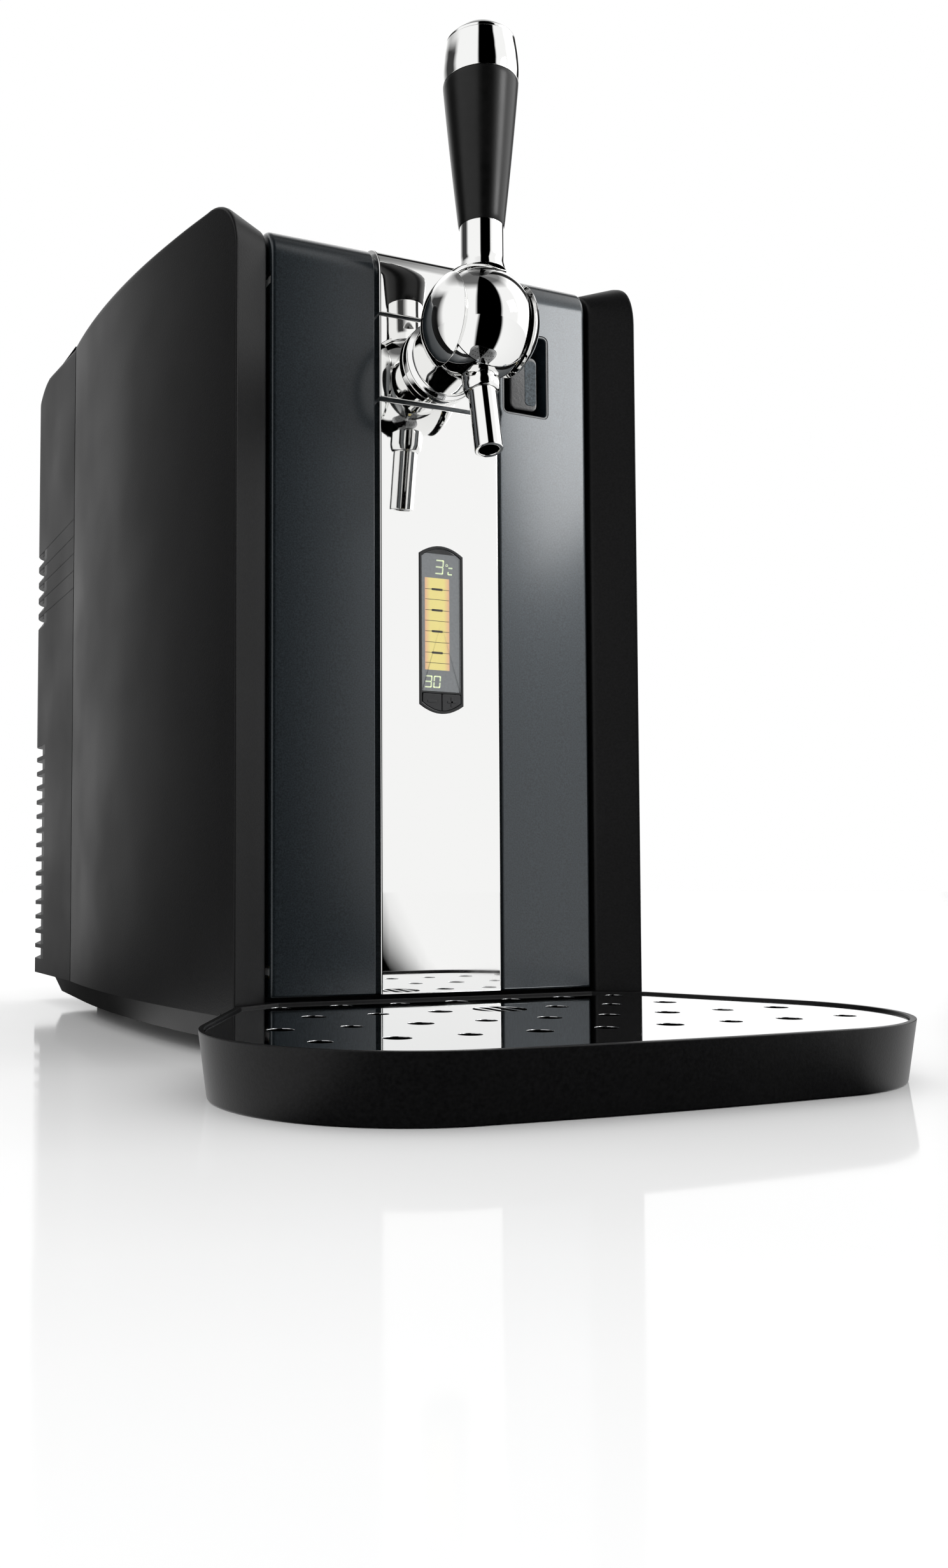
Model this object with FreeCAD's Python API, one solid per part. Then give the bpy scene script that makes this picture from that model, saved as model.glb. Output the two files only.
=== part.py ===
import FreeCAD, Part
import math
import os

# Mini keg beer dispenser: a cooled cabinet for one small pressurised keg, with a tap on its swinging door and a
# drip tray in front. Sizes are in millimetres. The working frame has x to the right, y to the back with y = 0 at
# the side edges of the door, and z up from the worktop. Y_SHIFT moves everything so that the box is centred.

# ---- overall
Y_SHIFT = -85.5          # centres the whole dispenser on y = 0
WALL = 2.5               # moulded housing walls
GAP = 0.6                # visible joint between fixed housing parts
FIT = 0.05               # running fit, on the radius
# ---- cabinet plan: each side is a large arc, then a straight flared line to the rear corner; the back is an arc
WING_X = 100.4           # half width at the front edge of the wings
WING_Y = -13.0           # how far the wings stand in front of the door
SIDE_R = 1040.0          # arc of the sides in plan
SIDE_X = 123.5           # half width at the widest
SIDE_Y = 205.0           # where the sides are widest
REAR_X = 129.4           # half width where the flared sides would meet the back
BACK_Y = 354.0           # middle of the back
BACK_R = 1100.0          # arc of the back in plan
CORNER_R = 14.0          # upright rear corners
SEAM_Z = 18.5            # joint between the side panels and the base
# ---- cabinet profile seen from the side
FACE_TOP_Z = 350.0       # where the front face starts to curve back
DOOR_TOP_R = 16.0        # curve of the door over its top edge
TOP_FRONT_Z = 366.0      # top just behind that curve
TOP_REAR_Y = 310.0       # where the top starts to curve down
TOP_REAR_Z = 401.7
TOP_REAR_R = 44.0
REVEAL_X = 82.5          # inner edge of the slanted reveals
REVEAL_DZ = 4.0          # how far the reveal rises over the top
JAMB_Y = 22.0            # depth of the door opening
SPLIT_Y = 238.0          # joint between the side panels and the rear cover
GROOVE = 1.6             # width and depth of the groove along that joint
# ---- rear cover
FIN_N = 15               # level fins low on the back corners and the back
FIN_Z = 31.0
FIN_PITCH = 9.34
FIN_CUT = 4.4            # height of the slot between two fins
FIN_DEPTH = 1.7
FIN_Y0 = 318.0           # the slots start here on the sides
LIP_H = 30.0             # height of the lip behind the lid
LOUVRE_N = 5             # slanted louvres high on the back
LOUVRE_Z = 248.0
LOUVRE_PITCH = 10.4
LOUVRE_CUT = 6.2
LOUVRE_W = 150.0
# ---- base
BASE_IN_TOP = 1.0        # the base is this much inside the side panels at the seam
BASE_IN_LOW = 5.5        # and this much at its lower edge
BASE_REAR_X = 120.5      # the base doesn't flare, so the rear cover stands out over it
BASE_BACK_IN = 8.0
BASE_CORNER_R = 30.0
BASE_LOW_Z = 7.5
BASE_FLOOR = 3.0
FOOT_R = 9.0
FOOT_X = 84.0
FOOT_Y0 = 22.0
FOOT_Y1 = 308.0
FOOT_IN = 1.5            # how deep a foot sits in its cup
RIB_T = 4.0              # upright ribs on the base
CHASSIS_Z = 36.0         # top of the ribs, where the insulation stands
# ---- chamber for the keg
CHAMBER_Y = 106.0        # axis of the keg
CHAMBER_R = 80.0
LINER = 2.0
OPEN_X = 77.0            # half width of the chamber's door opening
OPEN_Z0 = 48.0
OPEN_Z1 = 330.0
FOAM_R = 103.0
FOAM_X = 98.0
FOAM_TOP = 340.0
FRAME_T = 4.0            # front frame round the opening
FRAME_X = 82.0
FRAME_Z0 = 28.0
FRAME_Z1 = 352.0
KEG_SEAT_GAP = 10.0      # from the chamber's wall to the inside of the ring that the keg stands in
KEG_SEAT_R = CHAMBER_R - KEG_SEAT_GAP
KEG_SEAT_H = 6.0
KEG_LIP_H = 14.0
KEG_LIP_T = 2.5
# ---- door
DOOR_X = 80.7
DOOR_BULGE = 2.4         # the front is slightly curved in plan
DOOR_Z0 = 25.0
DOOR_TOP_Y = 19.5        # depth of the door over its top edge
DOOR_BACK = 16.0         # back plane of the door
LINER_T = 2.0
CHANNEL_X = 32.0         # channel down the middle for the bright strip
CHANNEL_DEPTH = 2.4
STRIP_X = 30.0
STRIP_T = 2.6
STRIP_PROUD = 1.2        # how far the strip stands in front of the door
GAP1_Z = 331.5           # joint between the top strip and the tap plate
GAP1 = 1.3
GAP2_Z = 292.4           # joint between the tap plate and the long strip
GAP2 = 1.8
DOOR_FOAM_X = 76.0
DOOR_FOAM_Z0 = 30.0
DOOR_FOAM_Z1 = 338.0
SEAL_X = 79.6
SEAL_W = 2.6
SEAL_T = 3.8
PIN_X = -78.2            # hinge axis of the door
PIN_Y = 2.9
PIN_R = 1.0
ARM_W = 3.2              # hinge arms, which reach forward from the frame into the door
ARM_H = 3.0
ARM_LOW_Z = 36.0
ARM_HIGH_Z = 341.0
ARM_ROOM = 0.8           # room above, below and behind an arm in the door
EYE_ROOM = 0.3           # room round the arm's eye
POST_W = 5.6             # solid corner of the door round each pin
POST_H = 9.0
# ---- release in the recess beside the tap
REC_X0 = 33.5
REC_X1 = 59.0
REC_Z0 = 295.5
REC_Z1 = 336.0
REC_DEPTH = 13.5
REC_WALL = 1.5
LEVER_X0 = 41.5
LEVER_X1 = 54.0
LEVER_Z0 = 301.0
LEVER_Z1 = 325.0
LEVER_TRAVEL = 3.0
LATCH_W = 8.0
# ---- display
PILL_X = 11.1
PILL_Z0 = 151.0
PILL_Z1 = 228.0
PILL_ARCH = 4.0          # rise of the arched ends
PILL_RIM = 1.3
GLASS_Z0 = 161.2
GLASS_Z1 = 226.2
GLASS_T = 1.2
BUTTON_Z0 = 152.4
BUTTON_Z1 = 160.2
BUTTON_X = 9.6
BUTTON_GAP = 0.25
BUTTON_TRAVEL = 1.0
BUTTON_PROUD = 0.5
PILL_DEPTH = 7.0
# ---- tap
TAP_Y = -42.5
TAP_Z = 314.5
BALL_R = 23.4
YOKE_R0 = 23.8
YOKE_R1 = 25.5
YOKE_HALF = 4.6          # half width of the band over the ball
HUB_X = 16.7             # inner face of the side caps
BALL_X = 16.3            # half width of the fixed ball
DOME_Y = -9.5            # joint of the front dome, from the ball's centre
DOME_GAP = 0.4
DOME_T = 2.2
DOME_PIN_Z = -19.5
DOME_PIN_R = 1.0
TAP_PIN_R = 4.0
TAP_PIN_IN = 6.0
ARM_R = 16.0
ARM_FLANGE_R = 18.7
ARM_FLANGE_T = 4.0
ARM_Z = 312.6
HANDLE_Y = -44.5
NECK_R = 9.5
NECK_Z1 = 356.6
GRIP_Z1 = 419.5
GRIP_R0 = 9.9
GRIP_R1 = 16.4
GRIP_WAIST = 12.6
BAND_Z1 = 437.5
BAND_R = 16.6
CAP_Z1 = 444.0
COLLAR_R = 7.2
COLLAR_Z0 = 284.0
COLLAR_Z1 = 293.0
SPOUT_R = 6.1
SPOUT_BORE = 4.3
SPOUT_Z0 = 257.0
SPOUT_TILT = 12.0
HOSE_R = 3.0
# ---- drip tray
TRAY_BACK = -1.0         # back edge of the tray behind the wings' front
TRAY_X0 = 93.0           # half width where the straight sides meet y = 0
TRAY_X1 = 185.5          # half width where they would meet the front line
TRAY_FRONT = -181.0
TRAY_BOW = 2.0           # the front edge bows out by this
TRAY_R = 72.0
TRAY_Z = 23.4
TRAY_DRAFT = 4.5
TRAY_WALL = 3.2
TRAY_FLOOR = 2.2
PLATE_T = 1.4
PLATE_Z = 22.4
PLATE_IN = 3.6
PLATE_BACK = -6.0
PLATE_SEAT = 2.0
HOLE_PITCH = 27.2
HOLE_ROW0 = -17.0
HOLE_ROW = 39.0
HOLE_R = 4.6
HOLE_R_SMALL = 3.9
DRAIN_R = 11.5
DRAIN_BAR = 2.0
TRAY_TRAVEL = 150.0
# ---- cooling unit and electrics
COLD_W = 60.0
COLD_T = 8.0
COLD_Z0 = 150.0
PELT_W = 40.0
PELT_T = 4.0
SINK_W = 84.0
SINK_H = 96.0
SINK_BASE = 6.0
SINK_FIN = 24.0
SINK_FIN_T = 1.4
SINK_N = 13
FAN_W = 80.0
FAN_T = 20.0
FAN_BORE = 37.5
FAN_HUB = 14.0
FAN_BLADE_R = 36.0
FAN_BLADE_T = 1.6
FAN_N = 7
SHAFT_R = 2.0
PSU_W = 110.0
PSU_D = 50.0
PSU_H = 24.0
PSU_Y = 214.0
PUMP_R = 17.0
PUMP_L = 56.0
BOARD_T = 1.6
INLET_W = 28.0
INLET_H = 22.0
INLET_D = 20.0
INLET_Z = 40.0
INLET_X = -62.0
SCREW_R = 1.6
SCREW_HEAD = 3.2
SCREW_X = 96.0
SCREW_Z = 33.5
SCREW_L = 12.0
RIB_X = 40.0             # inner ribs of the base
RIB_Y1 = 205.0
BASE_SHIFT = -5.0        # the base tapers in more at the back
LID_STRIP_Y = 130.0      # how far back the bright strip runs on the lid
COUPLER_R = 13.0
COUPLER_H = 8.0
AIR_R = 3.0
AIR_BEND = 14.0
AIR_X = 24.0
AIR_Z1 = 352.0
CARRIER_T = 2.0
CARRIER_W = 96.0
CARRIER_D = 64.0
CARRIER_POST = 5.0
BOARD_W = 88.0
BOARD_D = 56.0
BOARD_X = 44.0
BOARD_Y = 130.0
INLET_SET = 0.6
STEM_R = 2.5
LEVER_T = 5.0
LATCH_X0 = 38.0
LATCH_Z0 = 335.0
LATCH_T = 3.0
LATCH_HEAD = 5.0
LATCH_ROOM = 3.0
DOME_EYE = 3.0
DOME_LUG = 7.0
DOME_LUG_R = 2.0
DOME_NOTCH_X = 9.0       # the dome is cut back this far beside its hinge
DOME_NOTCH_Y = 3.0
PROBE_R = 3.0
PROBE_L = 14.0

V = FreeCAD.Vector
os.makedirs("parts", exist_ok=True)
MADE = []
FEET = [(-FOOT_X, FOOT_Y0), (FOOT_X, FOOT_Y0), (-FOOT_X, FOOT_Y1), (FOOT_X, FOOT_Y1)]


def save(name, shape):
    """Writes one sub-part, moved to the shared frame."""
    shape = shape.copy()
    shape.translate(V(0, Y_SHIFT, 0))
    shape.exportStep("parts/" + name + ".step")
    MADE.append(name)


def box(x0, x1, y0, y1, z0, z1):
    """A block between two corners."""
    return Part.makeBox(x1 - x0, y1 - y0, z1 - z0, V(x0, y0, z0))


def rod(r, start, end):
    """A round bar between two points."""
    a = V(*start)
    d = V(*end) - a
    return Part.makeCylinder(r, d.Length, a, d)


def mirror(shape):
    """The same shape on the other side of the middle plane."""
    return shape.mirror(V(0, 0, 0), V(1, 0, 0))


def one(shape):
    """The single solid of a shape, cleaned of leftover seams."""
    shape = shape.removeSplitter()
    solids = sorted(shape.Solids, key=lambda s: s.Volume)
    return solids[-1]


def side_x(y, off):
    """Half width of the cabinet at depth y, off inside its surface."""
    r = SIDE_R - off
    return SIDE_X - SIDE_R + math.sqrt(r * r - (y - SIDE_Y) ** 2)


def plan(off, z0, z1, rear_x=REAR_X, back_y=BACK_Y, corner=CORNER_R):
    """The cabinet's plan as an upright block, off inside the surface: side arcs, straight flared sides behind the
    joint, and an arc at the back with rounded corners."""
    back = back_y - off
    front = WING_Y
    rear = back - (rear_x - off) ** 2 / (2 * BACK_R)
    mid = (front + SPLIT_Y) / 2
    a = V(side_x(front, off), front, z0)
    b = V(side_x(mid, off), mid, z0)
    c = V(side_x(SPLIT_Y, off), SPLIT_Y, z0)
    d = V(rear_x - off, rear, z0)
    edges = [
        Part.Arc(a, b, c).toShape(),
        Part.LineSegment(c, d).toShape(),
        Part.Arc(d, V(0, back, z0), flip(d)).toShape(),
        Part.LineSegment(flip(d), flip(c)).toShape(),
        Part.Arc(flip(c), flip(b), flip(a)).toShape(),
        Part.LineSegment(flip(a), a).toShape(),
    ]
    block = Part.Face(Part.Wire(edges)).extrude(V(0, 0, z1 - z0))
    upright = []
    for e in block.Edges:
        ends = [v.Point for v in e.Vertexes]
        if len(ends) == 2 and abs(ends[0].z - ends[1].z) > 1 and ends[0].y > SPLIT_Y + corner:
            upright.append(e)
    return block.makeFillet(corner - off, upright)


def base_plan(off, z0, z1):
    """The base's plan, which doesn't flare and has rounder rear corners."""
    return plan(off, z0, z1, BASE_REAR_X, BACK_Y - BASE_BACK_IN, BASE_CORNER_R)


def profile(dy, dz, off, x):
    """The side view of the cabinet as a face at x: the front line, the curve over the top, the rising top and the
    curve down to the back. dy and dz move the front and the top, and off takes the outline inwards."""
    yf = dy + off
    top0 = TOP_FRONT_Z + dz - off
    top1 = TOP_REAR_Z + dz - off
    r = DOOR_TOP_R
    rr = TOP_REAR_R - off
    low = -SEAM_Z
    s = math.sqrt(0.5)
    p = [
        V(x, yf, low),
        V(x, yf, top0 - r),
        V(x, yf + r - r * s, top0 - r + r * s),
        V(x, yf + r, top0),
        V(x, TOP_REAR_Y, top1),
        V(x, TOP_REAR_Y + rr * s, top1 - rr + rr * s),
        V(x, TOP_REAR_Y + rr, top1 - rr),
        V(x, TOP_REAR_Y + rr, low),
    ]
    e = [
        Part.LineSegment(p[0], p[1]).toShape(),
        Part.Arc(p[1], p[2], p[3]).toShape(),
        Part.LineSegment(p[3], p[4]).toShape(),
        Part.Arc(p[4], p[5], p[6]).toShape(),
        Part.LineSegment(p[6], p[7]).toShape(),
        Part.LineSegment(p[7], p[0]).toShape(),
    ]
    return Part.Face(Part.Wire(e))


def envelope(off):
    """The whole cabinet as one solid block, off inside its surface."""
    side = profile(WING_Y, REVEAL_DZ, off, -REAR_X - WALL).extrude(V(2 * (REAR_X + WALL), 0, 0))
    return plan(off, SEAM_Z, TOP_REAR_Z + SIDE_X).common(side)


def front_space(off):
    """The room in front of the door plane and above the lid: the middle part, and the left part with its slanted
    side, which leans out to the wing's edge. off moves its surfaces into the cabinet."""
    tall = TOP_REAR_Z + SIDE_X
    near = WING_Y * 4
    far = SPLIT_Y + GROOVE
    x = -REVEAL_X
    whole = Part.Face(Part.makePolygon([
        V(x, near, 0), V(x, near, tall), V(x, far, tall), V(x, far, 0), V(x, near, 0)]))
    above = whole.cut(profile(0, 0, off, x))
    middle = above.extrude(V(2 * REVEAL_X, 0, 0))
    left = above.extrude(V(1.5 * (REVEAL_X - WING_X), 1.5 * WING_Y, 1.5 * REVEAL_DZ))
    return middle, left


def side_panel():
    """The left side: a thin wall that follows the cabinet, with the slanted reveal, the jamb of the door and the
    slanted top edge. Its lower edge is open and stands on the base."""
    left_room = box(-SIDE_X * 2, -REVEAL_X, WING_Y * 2, SPLIT_Y - GROOVE / 2, 0, TOP_REAR_Z * 2)
    body = envelope(0).common(left_room).cut(front_space(0)[1])
    inside = envelope(WALL)
    deep = inside.common(box(-SIDE_X * 2, -REVEAL_X, JAMB_Y, BACK_Y, 0, TOP_REAR_Z * 2))
    wing = inside.common(box(-SIDE_X * 2, -REVEAL_X - WALL, WING_Y * 2, JAMB_Y + GAP, 0, TOP_REAR_Z * 2))
    hollow = deep.fuse(wing).cut(front_space(WALL * 1.2)[1])
    return one(body.cut(hollow))


def rear_cover():
    """The back of the cabinet, with a tongue that closes the groove, a sill over the base, level fins and slanted
    louvres."""
    room = box(-SIDE_X * 2, SIDE_X * 2, SPLIT_Y + GROOVE / 2, BACK_Y * 2, 0, TOP_REAR_Z * 2)
    shell = envelope(0).cut(envelope(WALL)).common(room)
    lip = envelope(0).common(box(-SIDE_X * 2, SIDE_X * 2, SPLIT_Y + GROOVE / 2, SPLIT_Y + WALL * 1.5,
                                 TOP_REAR_Z - LIP_H, TOP_REAR_Z * 2))
    tongue = envelope(WALL + FIT * 2).cut(envelope(WALL * 2)).common(
        box(-SIDE_X * 2, SIDE_X * 2, SPLIT_Y - GROOVE * 3, SPLIT_Y + WALL, 0, TOP_REAR_Z * 2))
    clear_lid = box(-REVEAL_X - LIP_H, REVEAL_X + LIP_H, 0, SPLIT_Y + GROOVE / 2, FRAME_Z1, TOP_REAR_Z * 2)
    sill = plan(FIT, SEAM_Z, SEAM_Z + WALL).cut(base_plan(BASE_IN_TOP + WALL, SEAM_Z, SEAM_Z + WALL)).common(room)
    shell = shell.fuse(lip).fuse(tongue.cut(clear_lid)).fuse(sill)
    band = envelope(0).cut(envelope(FIN_DEPTH))
    for i in range(FIN_N):
        z = FIN_Z + FIN_PITCH * i
        shell = shell.cut(band.common(box(-SIDE_X * 2, SIDE_X * 2, FIN_Y0, BACK_Y * 2,
                                          z - FIN_CUT / 2, z + FIN_CUT / 2)))
    for i in range(LOUVRE_N):
        z = LOUVRE_Z + LOUVRE_PITCH * i
        shell = shell.cut(band.common(box(-SIDE_X * 2, SIDE_X * 2, FIN_Y0, BACK_Y * 2,
                                          z - LOUVRE_CUT / 2, z + LOUVRE_CUT / 2)))
        slot = box(-LOUVRE_W / 2, LOUVRE_W / 2, BACK_Y - CORNER_R, BACK_Y + WALL, -LOUVRE_CUT / 4, LOUVRE_CUT / 4)
        slot.translate(V(0, 0, z))
        shell = shell.cut(slot)
    shell = shell.cut(box(INLET_X - INLET_W / 2, INLET_X + INLET_W / 2, BACK_Y - CORNER_R, BACK_Y + WALL,
                          INLET_Z - INLET_H / 2, INLET_Z + INLET_H / 2))
    for sx in (-1, 1):
        shell = shell.cut(rod(SCREW_R, (sx * SCREW_X, BACK_Y - CORNER_R, SCREW_Z),
                              (sx * SCREW_X, BACK_Y * 1.1, SCREW_Z)))
    return one(shell)


def lid():
    """The top panel between the side panels. It follows the door's top edge to the back."""
    x = REVEAL_X - FIT * 2
    room = box(-x, x, DOOR_TOP_Y + GAP * 1.5, SPLIT_Y + GROOVE / 2 - FIT, FACE_TOP_Z, TOP_REAR_Z * 2)
    outer = profile(0, 0, 0, -x).extrude(V(2 * x, 0, 0))
    inner = profile(0, 0, WALL, -x).extrude(V(2 * x, 0, 0))
    return one(outer.cut(inner).common(room))


def lid_strip():
    """The bright strip that carries on over the lid from the door."""
    outer = profile(0, 0, -STRIP_PROUD, -STRIP_X).extrude(V(2 * STRIP_X, 0, 0))
    inner = profile(0, 0, 0, -STRIP_X).extrude(V(2 * STRIP_X, 0, 0))
    return one(outer.cut(inner).common(box(-STRIP_X, STRIP_X, DOOR_TOP_Y + GAP * 1.5, LID_STRIP_Y,
                                           FACE_TOP_Z, TOP_REAR_Z * 2)))


def base_wire(off, z, dy):
    """One level of the base: its plan, off inside it, as a wire."""
    block = base_plan(off, z, z + WALL)
    for f in block.Faces:
        if abs(f.CenterOfMass.z - z) < FIT:
            w = f.OuterWire.copy()
            w.translate(V(0, dy, 0))
            return w


def base():
    """The plinth: a tray with tapered walls, ribs that carry the insulation, cups for the feet and a front wall
    set back under the door."""
    outer = Part.makeLoft([base_wire(BASE_IN_TOP, SEAM_Z, 0), base_wire(BASE_IN_LOW, BASE_LOW_Z, BASE_SHIFT)],
                          True, True)
    inner = Part.makeLoft([base_wire(BASE_IN_TOP + WALL, SEAM_Z + WALL, 0),
                           base_wire(BASE_IN_LOW + WALL, BASE_LOW_Z + BASE_FLOOR, BASE_SHIFT)], True, True)
    shape = outer.cut(inner)
    front = Part.Face(Part.makePolygon([
        V(-WING_X * 1.2, WING_Y * 3, 0), V(-WING_X * 1.2, WING_Y - GAP, 0), V(-WING_X, WING_Y + GAP, 0),
        V(-REVEAL_X, GAP, 0), V(REVEAL_X, GAP, 0), V(WING_X, WING_Y + GAP, 0),
        V(WING_X * 1.2, WING_Y - GAP, 0), V(WING_X * 1.2, WING_Y * 3, 0), V(-WING_X * 1.2, WING_Y * 3, 0)]))
    cutter = front.extrude(V(0, 0, SIDE_X))
    shape = shape.cut(cutter)
    wall_top = DOOR_Z0 - GAP * 3
    shape = shape.fuse(box(-REVEAL_X, REVEAL_X, GAP, GAP + WALL, BASE_LOW_Z, wall_top))
    for sx in (-1, 1):
        slope = Part.Face(Part.makePolygon([
            V(sx * REVEAL_X, GAP, 0), V(sx * (WING_X - WALL), WING_Y + GAP * 3, 0),
            V(sx * (WING_X - WALL), WING_Y + GAP * 3 + WALL, 0), V(sx * REVEAL_X, GAP + WALL, 0),
            V(sx * REVEAL_X, GAP, 0)])).extrude(V(0, 0, SEAM_Z - BASE_LOW_Z))
        slope.translate(V(0, 0, BASE_LOW_Z))
        shape = shape.fuse(slope.common(outer))
    floor = BASE_LOW_Z + BASE_FLOOR - FIT
    for x in (-FOOT_X, -RIB_X, RIB_X - RIB_T, FOOT_X - RIB_T):
        shape = shape.fuse(box(x, x + RIB_T, JAMB_Y + FRAME_T, RIB_Y1, floor, CHASSIS_Z))
    shape = shape.fuse(box(-FOOT_X, FOOT_X, JAMB_Y, JAMB_Y + RIB_T, floor, FRAME_Z0))
    for p in FEET:
        shape = shape.cut(rod(FOOT_R + FIT, (p[0], p[1], 0), (p[0], p[1], BASE_LOW_Z + FOOT_IN)))
    return one(shape)


def foot(p):
    """A rubber foot in its cup under the base."""
    return rod(FOOT_R, (p[0], p[1], 0), (p[0], p[1], BASE_LOW_Z + FOOT_IN))


def door_plan(off, z0, z1, x):
    """The door's plan as an upright block: a shallow arc in front, straight to the back."""
    front = [V(-x, door_y(x, off), z0), V(0, door_y(0, off), z0), V(x, door_y(x, off), z0)]
    back = [V(x, BACK_Y / 2, z0), V(-x, BACK_Y / 2, z0)]
    edges = [
        Part.Arc(front[0], front[1], front[2]).toShape(),
        Part.LineSegment(front[2], back[0]).toShape(),
        Part.LineSegment(back[0], back[1]).toShape(),
        Part.LineSegment(back[1], front[0]).toShape(),
    ]
    return Part.Face(Part.Wire(edges)).extrude(V(0, 0, z1 - z0))


def door_y(x, off):
    """Depth of the door's face at x, off behind it."""
    return off - DOOR_BULGE * (1 - (x / DOOR_X) ** 2)


def door_block(off, x, z0):
    """The door as a solid block of half width x, off inside its face and its curved top edge."""
    side = profile(-DOOR_BULGE, 0, off, -x).extrude(V(2 * x, 0, 0))
    return door_plan(off, z0, TOP_REAR_Z, x).common(side)


def pill(grow, y0, y1):
    """The upright display shape with arched ends."""
    x = PILL_X + grow
    z0 = PILL_Z0 - grow
    z1 = PILL_Z1 + grow
    a = [V(-x, y0, z0 + PILL_ARCH), V(0, y0, z0), V(x, y0, z0 + PILL_ARCH)]
    b = [V(x, y0, z1 - PILL_ARCH), V(0, y0, z1), V(-x, y0, z1 - PILL_ARCH)]
    edges = [
        Part.Arc(a[0], a[1], a[2]).toShape(),
        Part.LineSegment(a[2], b[0]).toShape(),
        Part.Arc(b[0], b[1], b[2]).toShape(),
        Part.LineSegment(b[2], a[0]).toShape(),
    ]
    return Part.Face(Part.Wire(edges)).extrude(V(0, y1 - y0, 0))


def recess(grow, y0, y1):
    """The block of the release recess, grown all round."""
    return box(REC_X0 - grow, REC_X1 + grow, y0, y1, REC_Z0 - grow, REC_Z1 + grow)


def hinge_room(z):
    """The room that a hinge arm needs in the door."""
    disc = Part.makeCylinder(JAMB_Y + ARM_ROOM, ARM_H + 2 * ARM_ROOM, V(PIN_X, PIN_Y, z - ARM_H / 2 - ARM_ROOM))
    return disc.common(box(PIN_X - SIDE_X, PIN_X + ARM_W / 2 + EYE_ROOM, PIN_Y - ARM_W / 2 - EYE_ROOM * 2, SIDE_X,
                           0, TOP_REAR_Z))


def door_panel():
    """The dark front of the door: a shell with a curved top edge, the channel for the bright strip, and openings
    for the display and the release."""
    outer = door_block(0, DOOR_X, DOOR_Z0).common(box(-DOOR_X, DOOR_X, -SIDE_X, DOOR_TOP_Y, 0, TOP_REAR_Z))
    outer = outer.cut(box(-DOOR_X, DOOR_X, DOOR_BACK, SIDE_X, 0, FRAME_Z1 - WALL))
    mid = CHANNEL_X + WALL
    thin = door_block(WALL, DOOR_X - WALL, DOOR_Z0 + WALL)
    thick = door_block(WALL + CHANNEL_DEPTH, mid, DOOR_Z0 + WALL)
    hollow = thin.cut(box(-mid, mid, -SIDE_X, SIDE_X, 0, TOP_REAR_Z * 2)).fuse(thick)
    shape = outer.cut(hollow)
    channel = door_block(-WALL, CHANNEL_X, 0).cut(door_block(CHANNEL_DEPTH, CHANNEL_X, 0))
    shape = shape.cut(channel)
    shape = shape.cut(pill(FIT * 2, -SIDE_X, SIDE_X))
    shape = shape.cut(recess(FIT * 2, -SIDE_X, SIDE_X).common(box(0, SIDE_X, -SIDE_X, DOOR_BACK, 0, TOP_REAR_Z)))
    for z in (ARM_LOW_Z, ARM_HIGH_Z):
        post = box(-DOOR_X + FIT, PIN_X + POST_W, door_y(DOOR_X, WALL / 2), PIN_Y + POST_W,
                   z - POST_H, z + POST_H).common(outer)
        shape = shape.fuse(post).cut(hinge_room(z))
        shape = shape.cut(rod(PIN_R, (PIN_X, PIN_Y, z - POST_H + WALL), (PIN_X, PIN_Y, z + POST_H - WALL)))
    return one(shape)


def strip(z0, z1):
    """A piece of the bright strip between two heights."""
    outer = door_block(-STRIP_PROUD, STRIP_X, 0).common(box(-STRIP_X, STRIP_X, -SIDE_X, DOOR_TOP_Y, z0, z1))
    return outer.cut(door_block(CHANNEL_DEPTH, STRIP_X * 2, -1))


def hinge_arm(z):
    """An arm from the frame forward to the hinge axis."""
    shape = box(PIN_X - ARM_W / 2, PIN_X + ARM_W / 2, PIN_Y, JAMB_Y + FRAME_T, z - ARM_H / 2, z + ARM_H / 2)
    shape = shape.fuse(rod(ARM_W / 2, (PIN_X, PIN_Y, z - ARM_H / 2), (PIN_X, PIN_Y, z + ARM_H / 2)))
    return one(shape.cut(rod(PIN_R + FIT, (PIN_X, PIN_Y, 0), (PIN_X, PIN_Y, TOP_REAR_Z))))


def ring(x, y0, y1, z0, z1, w):
    """A flat rectangular ring, w wide, seen from the front."""
    return box(-x, x, y0, y1, z0, z1).cut(box(-x + w, x - w, y0, y1, z0 + w, z1 - w))


def flip(p):
    """The same point on the other side of the middle plane."""
    return V(-p.x, p.y, p.z)


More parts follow.
